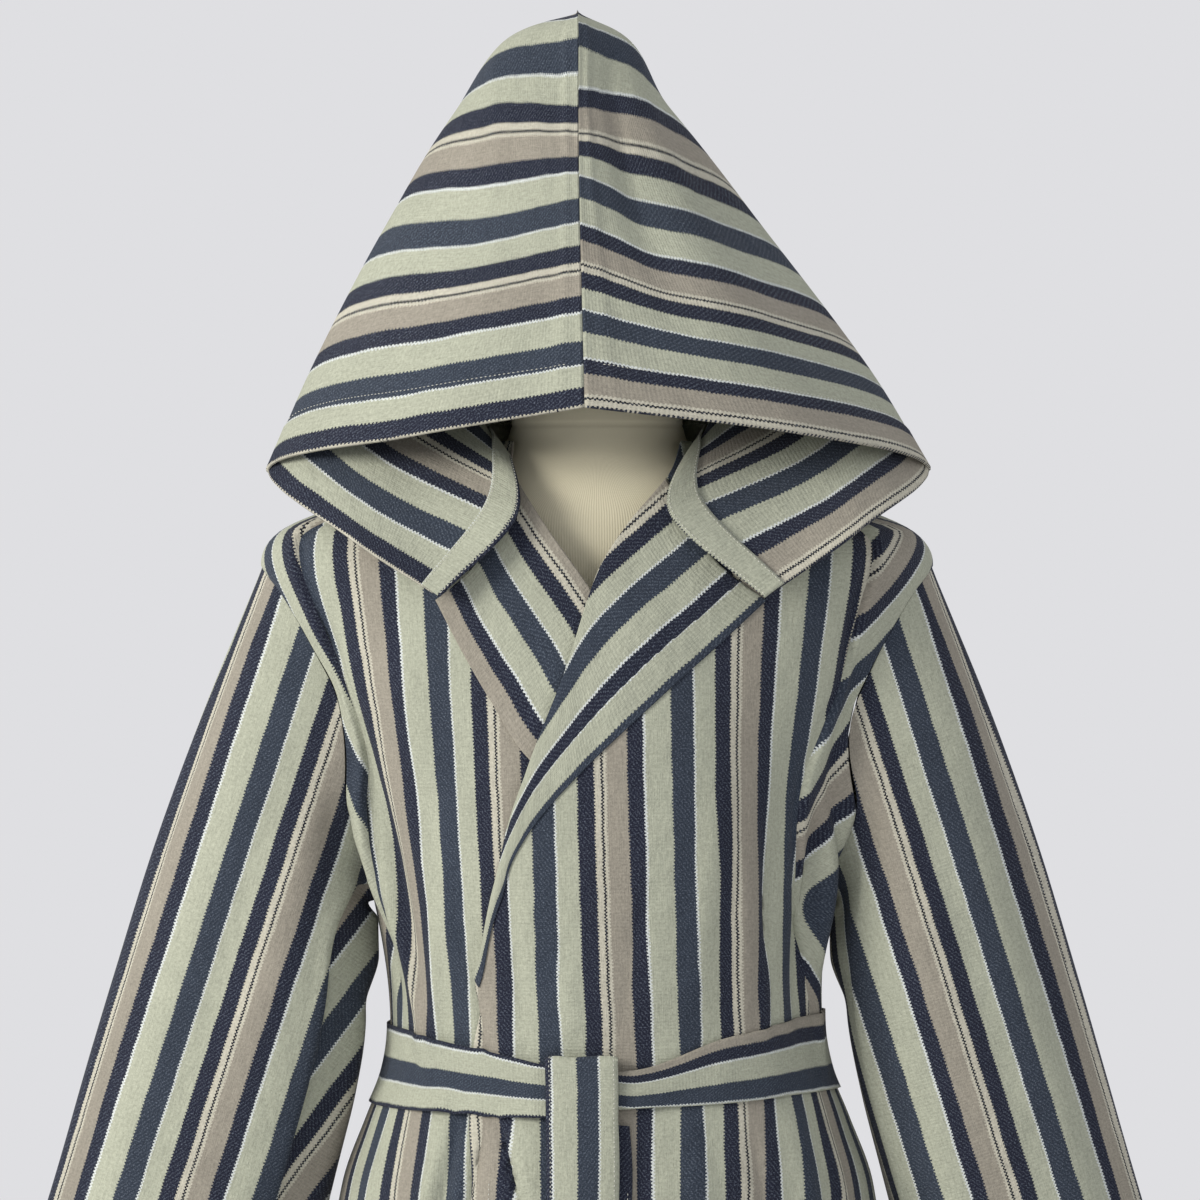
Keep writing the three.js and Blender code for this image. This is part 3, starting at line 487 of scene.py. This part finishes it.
# A sharp crease runs down each front from the shoulder, where the cloth folds over itself. Past it the cloth
# stands out in a lip, with a hollow just before it, and the stripes turn.
CREASE_RIGHT = [(225, -215), (950, -222), (1060, -218), (1187, -212), (1221, -208), (1265, -212),
                (1309, -219), (1357, -228), (1375, -222), (1402, -150), (1440, -90)]
CREASE_LEFT = [(225, 215), (950, 220), (1005, 212), (1048, 198), (1094, 182), (1147, 171), (1188, 172),
               (1230, 187), (1259, 199), (1322, 202), (1363, 206), (1380, 190), (1402, 150), (1440, 90)]
LIP_RISE, LIP_REACH, HOLLOW = 4.6, 26, 2.4
FRONT_ROWS, FRONT_NEAR, FRONT_FAR = 210, 84, 36  # columns before and past the crease
CELL_SIDES = (slice(None, -1), slice(1, None))  # the near and the far side of each strip of cells


def front_sheet(name, edge, crease, sign, lifted, start, slant, lean):
    """A front from its edge to the side. One column follows the crease, past which the pattern jumps to
    stripes turned by slant, a share of the place across, and lean, a share of the height."""
    height = heights(FRONT_ROWS)[:, None] + np.zeros((1, FRONT_NEAR + FRONT_FAR))
    level = height[:, :1]
    first, fold, last = curve(edge, level), curve(crease, level), sign * side_reach(level)
    fold = np.where(np.abs(fold) < np.abs(last) - 14, fold, last - sign * 14)
    near = np.linspace(0, 1, FRONT_NEAR)[None, :] ** 0.94
    far = np.linspace(0, 1, FRONT_FAR + 1)[None, 1:] ** 1.25
    across = np.concatenate([first + (fold - first) * near, fold + (last - fold) * far], 1)
    past = np.abs(across) - np.abs(fold)
    shown = eased(1010, 1120, height) * (1 - eased(1370, 1400, height))
    lip = LIP_RISE * eased(-1, 5, past) * np.exp(-np.maximum(past, 0) / LIP_REACH)
    lip -= HOLLOW * np.exp(-(((past + 5) / 5) ** 2))
    lip *= shown * eased(0, 12, np.abs(last) - np.abs(across))
    points = on_body("front", across, height, lip + (over_lift(across, height) if lifted else 0))
    plain = np.stack([across + start, height], -1)
    jump = fold - across + slant * past * sign + lean * (height - 1200)
    folded = plain + shown[..., None] * np.stack([jump, 0.6 * past], -1)
    before = np.arange(FRONT_NEAR + FRONT_FAR - 1)[None, :, None] < FRONT_NEAR - 1
    marks = tuple(np.where(before, plain[:, side], folded[:, side]) for side in CELL_SIDES)
    return cloth_piece(name, points, marks, cotton, turned_hem(height), outward=-sign)


front_right = front_sheet("robe_front_right", UNDER_EDGE, CREASE_RIGHT, -1, False, -9, 1.0, 0.3)
worn("front_right", "front_right_stitches",
     [hem_run("robe_front_right")])

front_left = front_sheet("robe_front_left", OVER_EDGE, CREASE_LEFT, 1, True, 15.2, 0.72, -0.72)
outer, normal = lines["robe_front_left"][1:]
edge_run = (outer[:90, 4], normal[:90, 4])  # beside the front edge, up to the belt
worn("front_left",
     "front_left_stitches", [hem_run("robe_front_left"), edge_run])

# ---- The lapels ----------------------
# Above the belt each front is rolled outwards along a soft fold, and what has turned over lies on the chest
# as a lapel whose top is sewn to the hood. Its stripes run with its own outer edge.
OVER_LAPEL = np.array([  # height and place across at the fold, then at the outer edge
    (1046, -98, 1040, -94), (1122, -78, 1100, -77), (1200, -51, 1149, -54), (1270, -23, 1197, -12),
    (1335, -2, 1255, 50), (1374, 20, 1290, 90), (1411, 51, 1322, 124),
])
UNDER_LAPEL = np.array([
    (1215, 44, 1170, 4), (1282, 16, 1205, -49), (1322, 0, 1248, -78), (1374, -36, 1288, -101),
    (1411, -60, 1322, -118),
])
LAPEL_LIFT, LAPEL_BELLY = 2.6, 1.32
LAPEL_BOW = 12  # how far a lapel's sewn end curves in at its middle
FACING = 26  # the strip along the top lapel's edge where the cloth is turned back and its stripes mirrored


def row_curves(table, place):
    """A table's columns as smooth curves over the number of the row."""
    return [through(np.arange(len(table)), column, place) for column in table.T]


def lapel(side, table, start):
    """A band between the fold and the outer edge, moved out by a hair more than the front that it lies on."""
    over = side == "left"
    rows, columns = 130, 90
    place = np.linspace(0, len(table) - 1, rows)[:, None]
    fold_height, fold, edge_height, edge = row_curves(table, place)
    share = np.linspace(0, 1, columns)[None, :]
    bow = LAPEL_BOW * eased(0.7, 1, place / (len(table) - 1)) * np.sin(np.pi * share)
    height = fold_height + (edge_height - fold_height) * share - 0.78 * bow
    across = fold + (edge - fold) * share - (0.62 if over else -0.62) * bow
    belly = LAPEL_BELLY * np.sin(np.pi * share) * eased(0, 1.5, place)
    lift = LAPEL_LIFT + (belly + over_lift(across, height) if over else 0)
    points = on_body("front", across, height, lift)
    inward = (1 - share) * np.linalg.norm(points[:, -1] - points[:, 0], axis=-1)[:, None]
    stripe = np.where(inward < FACING, 74 - inward, start + inward) if over else start + inward
    marks = np.stack([stripe, fold_height + 0 * share], -1)
    made = cloth_piece(f"lapel_{side}_cloth", points, marks, cotton, CLOTH, 1 if over else -1)
    # The row of stitches lies 5 mm in from the outer edge.
    points, outer, normal = lines[made.name]
    column = np.argmin(np.abs(np.linalg.norm(points - points[:, -1:], axis=-1) - 5), axis=1)
    run = (outer[np.arange(rows), column], normal[np.arange(rows), column])
    worn(f"lapel_{side}", f"lapel_{side}_stitches", [run])


lapel("left", OVER_LAPEL, 10.2)
lapel("right", UNDER_LAPEL, 22)

# ---- The sleeves ---------------------
# Each sleeve is a wide straight tube set into the armhole. It hangs a little out from the body, flattened
# front to back, and its cuff is turned in and stitched.
SLEEVES = {
    "left": np.array([  # outer x and z, inner x and z, half depth
        (263, 1320, 179, 1084, 60), (275, 1288, 189, 1079, 62), (295, 1232, 186, 1052, 65),
        (325, 1142, 186, 1004, 66), (351, 1058, 196, 950, 64), (377, 972, 211, 893, 62),
        (401, 890, 228, 832, 60), (424, 812, 246, 772, 60),
    ]),
    "right": np.array([
        (-263, 1320, -178, 1084, 60), (-275, 1288, -185, 1079, 62), (-295, 1232, -178, 1052, 65),
        (-326, 1142, -171, 1004, 66), (-353, 1058, -178, 952, 64), (-380, 972, -193, 893, 62),
        (-404, 890, -209, 832, 60), (-428, 812, -226, 772, 60),
    ]),
}
HEAD_GAP, UNDERARM_GAP = 0.9, 2.2  # from the body's cut edge to the sleeve's first row
EDGE_DEPTH = 31  # how far front and back of the edge line the cloth has turned to face the viewer
UNDERARM_CREASE = 0.43  # how far round the sleeve it lies, from the outer edge through the front
SAGS = {"left": (12, 0.045), "right": (14, 0.07)}  # depth, and how far down the sleeve the sag starts
CUFF_DEPTH = 31


def armhole(sign, turn):
    """The armhole's oval on the body: turn 0 is the shoulder, a quarter the front, a half the underarm."""
    angle = 2 * np.pi * turn
    gap = HEAD_GAP + (UNDERARM_GAP - HEAD_GAP) * eased(0, -0.5, np.cos(angle))
    height = ARMHOLE_CENTRE + (ARMHOLE_REACH - gap) * np.cos(angle)
    across = sign * (body_column("cloth", height) - (ARMHOLE_DEPTH - gap) * np.abs(np.sin(angle)))
    in_front = (np.sin(angle) >= 0)[..., None]
    return np.where(in_front, body_middle("front", across, height), body_middle("back", across, height))


def sleeve_tube(table, along, turn):
    """A flat tube: a cosine between the outer and inner lines, and a sine of the half depth."""
    ox, oz, ix, iz, deep = row_curves(table, along * (len(table) - 1))
    cos, sin = np.cos(2 * np.pi * turn), np.sin(2 * np.pi * turn)
    x, z = (ox + ix + (ox - ix) * cos) / 2, (oz + iz + (oz - iz) * cos) / 2
    return np.stack([x, -deep * sin, z], -1)


def sleeve(side, sign, start):
    """The armhole's oval carried along the sleeve's lines and drawn into the flat tube, with long soft folds,
    a crease that drags from the underarm, and an underside that sags towards the body."""
    rows, columns = 120, 150
    table = SLEEVES[side]
    along = (np.linspace(0, 1, rows) ** 1.25)[:, None] + np.zeros((1, columns))
    even = (np.arange(columns) / columns)[None, :] + np.zeros((rows, 1))
    # On the right sleeve the crease is sharp and comes forward, with a column that follows it.
    creased = 1 if side == "right" else 0
    bell = np.exp(-(((even - UNDERARM_CREASE) / 0.08) ** 2))
    turn = even - 0.072 * creased * eased(0, 0.4, along) * bell
    tube = sleeve_tube(table, along, turn)
    carried = armhole(sign, turn) + tube - sleeve_tube(table, 0 * along, turn)
    drawn = eased(0, 0.42, along)[..., None]
    points = carried * (1 - drawn) + tube * drawn
    normal = normals_of(points, True) * -sign
    swing = 2 * np.pi * turn
    fold = (2.6 * np.sin(3 * swing + 0.7 + 1.4 * along) + 1.6 * np.sin(7 * swing + 2.1 - 2.0 * along)
            + 1.0 * np.sin(11 * swing + 5.0 * along)) * eased(0.02, 0.5, along)
    crease = int(columns * UNDERARM_CREASE)
    past = even - (crease - 0.5) / columns
    drag = np.where(past < 0, 3.0 * np.exp(past / 0.035), -4.0 * np.exp(-past / 0.05))
    drag *= eased(0.03, 0.2, along) * (0.25 + 0.75 * creased)
    depth, first = SAGS[side]
    sag = depth * np.exp(-(((turn - 0.5) / 0.05) ** 2))
    sag *= eased(first, first + 0.12, along) * (1 - eased(0.29, 0.41, along))
    points = points + normal * (fold + drag + sag - CLOTH / 2)[..., None]
    # The stripes run along the outer edge. Round the outer and inner edges the cloth runs front to back, and
    # the map counts that too. On the right sleeve's underside, past the crease, they slant across.
    axis = table[-1, :2] - table[0, :2]
    axis = axis / np.linalg.norm(axis)
    x, z = closed(points[..., 0]), closed(points[..., 2])
    away_x, away_z = x - table[0, 0], z - table[0, 1]
    length = away_x * axis[0] + away_z * axis[1]
    inward = np.abs(away_x * axis[1] - away_z * axis[0])
    bend = np.where(np.cos(swing) > 0, -1, 1) * np.maximum(EDGE_DEPTH - np.abs(points[..., 1]), 0)
    inward = 1.04 * inward + closed(bend)
    front_map = np.stack([start + inward, length], -1)
    back_map = np.stack([start - 2 * EDGE_DEPTH - inward, length], -1)
    slanted = np.stack([start - 0.8 * sign * x - 0.6 * z, 0.8 * z - 0.6 * sign * x], -1)
    under_map = slanted if creased else front_map
    cell = np.arange(columns)[None, :, None]
    marks = tuple(np.where(cell < crease, front_map[:, cut],
                           np.where(cell < columns // 2 + 4, under_map[:, cut], back_map[:, cut]))
                  for cut in CELL_SIDES)
    end = length[-1, :-1][None, :] - length[:, :-1]
    cuff = CLOTH + TURNED * (1 - eased(CUFF_DEPTH - 2, CUFF_DEPTH, end))
    made = cloth_piece(f"sleeve_{side}_cloth", points, marks, cotton, cuff, outward=-sign, ring=True)
    row = int(np.argmin(np.abs(end[:, columns // 4] - CUFF_DEPTH)))
    outer, normal = lines[made.name][1:]
    worn(f"sleeve_{side}",
         f"sleeve_{side}_stitches", [(closed(outer)[row], closed(normal)[row])])


sleeve("left", 1, 26)
sleeve("right", -1, 21)

# ---- The hood ------------------------
# Two halves joined by one seam that runs from the brow over the crown to the nape. The crown is held up at
# its back corner, so the face edge hangs across the front and its corners stand out over the shoulders.
HOOD_STATIONS = np.array([0, 0.22, 0.45, 0.72, 1])  # neck seam, low, side, high, crown seam
HOOD_ROWS = [0, 0.25, 0.5, 0.75, 0.88, 1]  # face edge to centre back
HOODS = {
    "left": np.array([
        [(128, -125, 1328), (192, -104, 1374), (247, -24, 1421), (146, -104, 1444), (-9, -142, 1462)],
        [(63, -109, 1388), (166, -44, 1438), (204, 16, 1497), (106, -78, 1522), (-11, -108, 1538)],
        [(70, -61, 1432), (124, 14, 1496), (134, 40, 1592), (62, -34, 1611), (-13, -66, 1615)],
        [(80.4, 14, 1441.5), (86, 72, 1560), (66, 56, 1676), (30, 10, 1704), (-14, -20, 1692)],
        [(51, 61.5, 1441.5), (58, 98, 1558), (44, 78, 1676), (27, 36, 1742), (-14, 0, 1750)],
        [(0, 80, 1441.5), (0, 114, 1548), (-5, 100, 1654), (-12, 56, 1754), (-15, 26, 1769)],
    ]),
    "right": np.array([
        [(-120, -124, 1328), (-180, -104, 1368), (-245, -24, 1420), (-140, -106, 1441), (-9, -142, 1462)],
        [(-68, -109, 1386), (-166, -44, 1439), (-210, 16, 1506), (-112, -78, 1526), (-11, -108, 1538)],
        [(-70, -61, 1432), (-130, 14, 1500), (-160, 38, 1604), (-86, -36, 1612), (-13, -66, 1615)],
        [(-80.4, 14, 1441.5), (-100, 72, 1560), (-115, 52, 1672), (-78, 4, 1704), (-14, -20, 1692)],
        [(-51, 61.5, 1441.5), (-68, 98, 1560), (-84, 80, 1676), (-71, 36, 1744), (-14, 0, 1750)],
        [(0, 80, 1441.5), (0, 114, 1548), (-5, 100, 1654), (-12, 56, 1754), (-15, 26, 1769)],
    ]),
}
CROWN_GAP = 0.1
FALL_REACH = 105  # how far from the crown seam the stripes' slope dies out


def hood_point(side, back, around):
    """A smooth net: each station's curve over the rows, then one curve over the stations."""
    places = [through(HOOD_ROWS, column, back) for column in HOODS[side].reshape(6, 15).T]
    places = np.stack(places, -1).reshape(back.shape + (5, 3))
    knots, before, after = HOOD_STATIONS, [0, 0, 1, 2, 3], [1, 2, 3, 4, 4]
    slope = (places[..., after, :] - places[..., before, :]) / (knots[after] - knots[before])[:, None]
    low = np.clip(np.searchsorted(knots, around, side="right") - 1, 0, 3)
    span = (knots[low + 1] - knots[low])[..., None]
    four = [np.take_along_axis(grid, index[..., None, None], -2)[..., 0, :]
            for grid in (places, slope) for index in (low, low + 1)]
    point = between(*four, span, (around - knots[low])[..., None] / span)
    point[..., 0] += CROWN_GAP if side == "left" else -CROWN_GAP
    return point


HOOD_WAVES = {  # place back and round of a dent's middle, its half sizes, and its depth
    "left": [(0.55, 0.84, 0.26, 0.055, -7.0), (0.55, 0.70, 0.22, 0.05, 3.0), (0.35, 0.70, 0.22, 0.08, 3.0),
             (0.2, 0.3, 0.2, 0.06, -2.5)],
    "right": [(0.55, 0.80, 0.25, 0.07, -2.0), (0.3, 0.62, 0.25, 0.07, 2.0), (0.2, 0.26, 0.2, 0.06, 2.5)],
}
SEAM_ROLL = 1.3  # the swelling beside the crown seam


def hood_half(side, sign, start, length, slope):
    """One half of the hood, with its dents, a roll at the crown seam and the turned face edge."""
    rows, columns = 130, 150
    back = np.linspace(0, 1, rows)[:, None] + np.zeros((1, columns))
    around = np.linspace(0, 1, columns)[None, :] + np.zeros((rows, 1))
    points = hood_point(side, back, around)
    out = SEAM_ROLL * np.exp(-(((around - 0.965) / 0.014) ** 2))
    out *= eased(0, 0.1, back) * (1 - eased(0.85, 0.97, back))
    for at_back, at_round, long, wide, deep in HOOD_WAVES[side]:
        out += deep * np.exp(-(((back - at_back) / long) ** 2) - ((around - at_round) / wide) ** 2)
    out *= eased(0, 0.04, 1 - around) * eased(0, 0.06, around)
    points = points + normals_of(points, False) * sign * out[..., None]
    # The stripes fall away from the crown seam more steeply the higher they are.
    far = FALL_REACH * np.tanh(np.abs(points[..., 0] + 13) / FALL_REACH)
    fall = slope * eased(-0.05, 0.55, back) * far * eased(0.2, 0.5, around)
    marks = np.stack([start + back * length + fall * np.sign(length), around * 420], -1)
    # The face edge is turned in, and the peak is thinned so that both halves meet there.
    wall = CLOTH + 1.2 * (1 - eased(0.095, 0.105, back)) - 1.1 * eased(0.95, 1, back) * eased(0.85, 1, around)
    normal = normals_of(points, False) * sign
    # At the crown seam both halves face straight out, square to the seam's own line, so they meet.
    run = np.gradient(points[:, -1:], axis=0)
    square = np.stack([0 * run[..., 0], -run[..., 2], run[..., 1]], -1)
    square /= np.linalg.norm(square, axis=-1, keepdims=True)
    meet = eased(0.97, 1, around)[..., None]
    normal = normal * (1 - meet) + square * meet
    normal /= np.linalg.norm(normal, axis=-1, keepdims=True)
    made = cloth_piece(f"hood_{side}_cloth", points, marks, cotton, wall, outward=sign, normal=normal)
    outer, normal = lines[made.name][1:]
    worn(f"hood_{side}",
         f"hood_{side}_stitches", [(outer[14, 12:-3], normal[14, 12:-3])])


hood_half("left", 1, 11.3, 307, 0.36)
hood_half("right", -1, 12.8, -290, 0.14)

# ---- The neck tape -------------------
# A strip of the same cloth, cut within a pale green band, covers the neck seam on the hood's inside. It is
# turned under at both edges and stitched down along each.
TAPE_FOOT, TAPE_SHARE = -0.021, 0.05  # its lower edge and its width, as shares of the way round the hood
TAPE_GAP, TAPE_CROWN, TAPE_CLOTH = 0.9, 0.7, 1.3


def neck_tape(side, sign, first, wide):
    """The hood's lowest cells moved to the hood's inside, a little crowned across."""
    rows, columns = 120, 12
    share = np.linspace(0, 1, columns)[None, :]
    back = np.linspace(0, 0.975, rows)[:, None] + 0 * share
    around = TAPE_FOOT + TAPE_SHARE * share + 0 * back
    points = hood_point(side, back, around)
    step_back = hood_point(side, np.clip(back + 0.004, 0, 1), around) - points
    step_round = hood_point(side, back, around + 0.004) - points
    normal = np.cross(step_back, step_round)
    normal *= -sign / np.linalg.norm(normal, axis=-1, keepdims=True)
    points = points + normal * (TAPE_GAP + TAPE_CROWN * np.sin(np.pi * share) + 0 * back)[..., None]
    marks = np.stack([first + wide * share + 0 * back, back * 330], -1)
    made = cloth_piece(f"neck_tape_{side}_cloth", points, marks, cotton, TAPE_CLOTH, outward=-sign)
    outer, normal = lines[made.name][1:]
    worn(f"neck_tape_{side}",
         f"neck_tape_{side}_stitches", [(outer[:, column], normal[:, column]) for column in (1, -2)])


neck_tape("left", 1, 101.5, -15)
neck_tape("right", -1, 104, -18)  # its inner edge is cut in the indigo band

# ---- The belt ------------------------
# A long flat tube of the same cloth, 60 mm wide, passed once round the waist and tied in front. One end comes
# up behind the band, turns over its top edge and hangs down; the other hangs behind it.
BELT_CLOTH = 3.2
BELT = [  # quarter turns from the centre front through the left side, height, width
    (0, 963, 30), (0.1, 966, 32), (0.3, 977, 50), (0.65, 985, 57), (1, 985, 60),
    (2, 979, 60), (3, 975, 60), (3.35, 974, 59), (3.65, 969, 51), (3.86, 963, 41),
    (4, 963, 30),
]
BELT_LIFT, KNOT_LIFT = 3.8, 12.6
TAIL_WIDE, KNOT_AT = 50, -18


def belt_lift(front, across, height):
    """How far out the belt lies: over the top front where there is one, and over its own end at the knot."""
    past = over_lift(across, height) * eased(-190, -125, across)
    end = 1 - eased(TAIL_WIDE * 0.6, TAIL_WIDE * 1.4, np.abs(across - KNOT_AT))
    return BELT_LIFT + np.where(front, past + (KNOT_LIFT - OVER_LIFT - BELT_LIFT) * end, 0)


def tube_wall(share):
    """The tube's thickness across its width: full, and less at the folded edges."""
    return BELT_CLOTH * (1 - 0.55 * np.abs(2 * share) ** 6)


BELT_ROWS, BELT_ROUND = 20, 420
turn = 4 * (np.arange(BELT_ROUND) / BELT_ROUND)[None, :] + np.zeros((BELT_ROWS, 1))
front = (turn <= 1) | (turn >= 3)
across = np.where(turn <= 1, turn, np.where(turn >= 3, turn - 4, 2 - turn)) * SIDE
share = np.linspace(-0.5, 0.5, BELT_ROWS)[:, None] + 0 * turn
height = curve(BELT, turn) + share * curve(BELT, turn, 2)
gather = 1.5 * np.cos(2 * np.pi * (2.6 * share + 0.15)) * np.exp(-np.abs(across - KNOT_AT) / 55) * front
gather += 0.5 * np.sin(across / 17 + 3 * share) + 0.4 * np.sin(across / 7.3 + 2.0)
lift = belt_lift(front, across, height) + 0.3 + gather * 0.7 * np.cos(np.pi * share)
points = [on_body(side, across, height, lift) for side in ("front", "back")]
points = np.where(front[..., None], *points)
left_part = eased(-20, 20, across) * front + 0.5 * ~front
marks = closed(np.stack([44 - 17 * left_part + (0.5 - share) * 60, across], -1))
band = cloth_piece("belt_band", points, marks, cotton, tube_wall(share), ring=True)
outer, normal = lines["belt_band"][1:]
worn("belt_loop",
     "belt_stitches", [(outer[row], normal[row]) for row in (2, -3)])

FRONT_TAIL = [  # out from the body, height
    (9.8, 942), (9.8, 964), (9.8, 983), (10.5, 987), (12.6, 989.8), (15.4, 989.8), (17.5, 987),
    (18.2, 983), (18.2, 964), (18, 938), (16.4, 915), (15, 880), (14.6, 820), (14.3, 740),
    (14.3, 645), (14.3, 550),
]
BACK_TAIL = [(9.8, 938), (9.8, 880), (9.8, 800), (9.8, 700), (9.8, 604)]


def tail(end, path, shift, start):
    """A band that follows a path of places out from the body and heights, softly bowed across."""
    rows, columns = 220, 18
    name = "belt_end_" + end
    over = end == "front"
    path = np.array(path)
    keys = np.cumsum(np.r_[0, np.hypot(*np.diff(path, axis=0).T)])
    along = np.linspace(0, keys[-1], rows)
    if over:  # more rows where the end turns over the band
        along = np.unique(np.r_[along, np.linspace(keys[1], keys[9], 60)])
    out, height = (through(keys, column, along)[:, None] for column in path.T)
    share = np.linspace(-0.5, 0.5, columns)[None, :] + 0 * height
    points = on_body("front", KNOT_AT + shift + share * TAIL_WIDE, height, out)
    hang = eased(keys[9] if over else 0, keys[-1], along)[:, None]
    points[..., 1] -= (0.9 * np.cos(2 * np.pi * share * 1.3 + 0.6) + 0.6) * hang + 0.5 * (0.25 - share ** 2)
    points -= normals_of(points, False) * BELT_CLOTH / 2
    marks = np.stack([start + (share + 0.5) * 58, along[:, None] + 0 * share], -1)
    made = cloth_piece(name, points, marks, cotton, tube_wall(share))
    outer, normal = lines[name][1:]
    worn("belt_tail_" + end, name + "_stitches",
         [(outer[30:, column], normal[30:, column]) for column in (1, -2)])


tail("front", FRONT_TAIL, 0, 42.5)
tail("back", BACK_TAIL, 8, 54)

# ---- The dress form ------------------
# A limbless padded torso covered in fine cream jersey, pulled smooth, with a separate cap sewn on its
# neck. It fills the robe and carries it at the shoulders.
FORM = [  # height, half width, front and back depth
    (740, 150, 98, 100), (746, 158, 104, 106), (790, 166, 109, 114), (870, 162, 106, 110),
    (970, 140, 95, 91), (1060, 147, 104, 97), (1140, 156, 112, 102), (1220, 172, 110, 102),
    (1300, 192, 98, 96), (1345, 206, 88, 90), (1372, 212.5, 82, 85), (1388, 200.5, 78, 82),
    (1402, 156.5, 74, 79), (1415, 114.5, 69, 74), (1427, 86, 64, 69), (1442, 68, 59, 64),
    (1470, 62, 56, 60), (1478, 54, 49, 52),
]
CAP_SEAM = 1453


def fine_jersey():
    """Cream cotton jersey: fine upright ribs of stitches, drawn some 4 mm apart, soft and matte."""
    knit, shader = new_material("cream jersey", Roughness=0.9, Sheen_Weight=0.25, Sheen_Roughness=0.5,
                                Specular_IOR_Level=0.15)
    marks = node(knit, "UVMap", uv_map="cloth map")
    rib = node(knit, "TexWave", marks, inputs={"Scale": 0.26, "Distortion": 1.2, "Detail": 2.0,
                                               "Detail Scale": 0.4}).outputs["Fac"]
    soft = node(knit, "TexNoise", marks, inputs={"Scale": 0.5, "Detail": 3.0})
    tone = node(knit, "Mix", rib, inputs={6: linear("#c3bca1"), 7: linear("#d2ccb4")}, data_type="RGBA")
    return finish_material(knit, shader, node(knit, "Math ADD", rib, soft), 0.35, 0.0005, tone)


def closed_rings(name, rings, material, marks=None):
    """A closed solid from rings of points in millimetres, rows from the foot up, with a point at each end."""
    rows, columns = rings.shape[:2]
    places = np.concatenate([rings.reshape(-1, 3), rings[:1].mean(1), rings[-1:].mean(1)]) * MM
    order = closed(np.arange(rows * columns).reshape(rows, columns))
    a, b, c, d = order[:-1, :-1], order[:-1, 1:], order[1:, 1:], order[1:, :-1]
    foot, top = np.full(columns, rows * columns), np.full(columns, rows * columns + 1)
    faces = np.concatenate([np.stack(three, -1).reshape(-1, 3) for three in (
        (a, b, c), (a, c, d), (foot, order[0, 1:], order[0, :-1]), (top, order[-1, :-1], order[-1, 1:]))])
    marks = np.zeros((len(places), 2)) if marks is None else marks
    return mesh_piece(name, places, faces, material, marks[faces.ravel()])


FORM_ROWS, FORM_ROUND = 190, 128
height = np.interp(np.linspace(0, 1, FORM_ROWS), [0, 0.04, 0.62, 1], [740, 750, 1340, 1478])[:, None]
angle = np.pi + np.linspace(0, 2 * np.pi, FORM_ROUND, endpoint=False)[None, :]
half, ahead, behind = (curve(FORM, height, k) for k in (1, 2, 3))
seam = -0.9 * np.exp(-(((height - CAP_SEAM) / 1.2) ** 2))
deep = np.where(np.cos(angle) > 0, ahead, behind) + seam
rings = np.stack(np.broadcast_arrays((half + seam) * np.sin(angle), -deep * np.cos(angle), height), -1)
marks = np.stack(np.broadcast_arrays(angle / (2 * np.pi) * 800, height), -1).reshape(-1, 2)
torso = closed_rings("form_cover", rings, fine_jersey(), np.concatenate([marks, marks[:2]]))
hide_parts("form_torso")

# ---- The stand -----------------------
# A turned socket under the torso, a straight steel pole and a low pressed steel base, all painted
# off-white. The base's underside is on the floor.
def painted_steel():
    """Sprayed off-white paint: an even satin coat with a faint orange peel."""
    coat, shader = new_material("off-white paint on steel", Base_Color=linear("#dcdcd8"), Roughness=0.38)
    place = node(coat, "TexCoord").outputs["Object"]
    peel = node(coat, "TexNoise", place, inputs={"Scale": 420.0, "Detail": 2.0})
    return finish_material(coat, shader, peel, 0.12, 0.0004)


paint = painted_steel()


def turned(name, solid, profile):
    """A profile of radius and height pairs carried once round the upright axis."""
    profile = np.array(profile, float)
    angle = np.linspace(0, 2 * np.pi, 96, endpoint=False)[None, :]
    radius, level = profile[:, :1], profile[:, 1:]
    rings = np.stack(np.broadcast_arrays(radius * np.cos(angle), radius * np.sin(angle), level), -1)
    piece = closed_rings(name, rings, paint)
    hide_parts(solid)


corner = np.linspace(0, np.pi / 2, 6)  # the base's top edge is rounded by 4 mm
rim = np.stack([175 - 4 * (1 - np.cos(corner)), 14 - 4 * (1 - np.sin(corner))], 1).tolist()
turned("base_plate", "stand_base", [(1, 0), (174.5, 0), (175, 0.6)] + rim + [(1, 14)])
turned("upright_pole", "stand_pole", [(1, 14.3), (14, 14.3), (14, 300), (14, 679.7), (1, 679.7)])
turned("torso_socket", "form_socket", [(1, 680), (23, 680), (24, 681), (24, 738.7), (23, 739.7), (1, 739.7)])
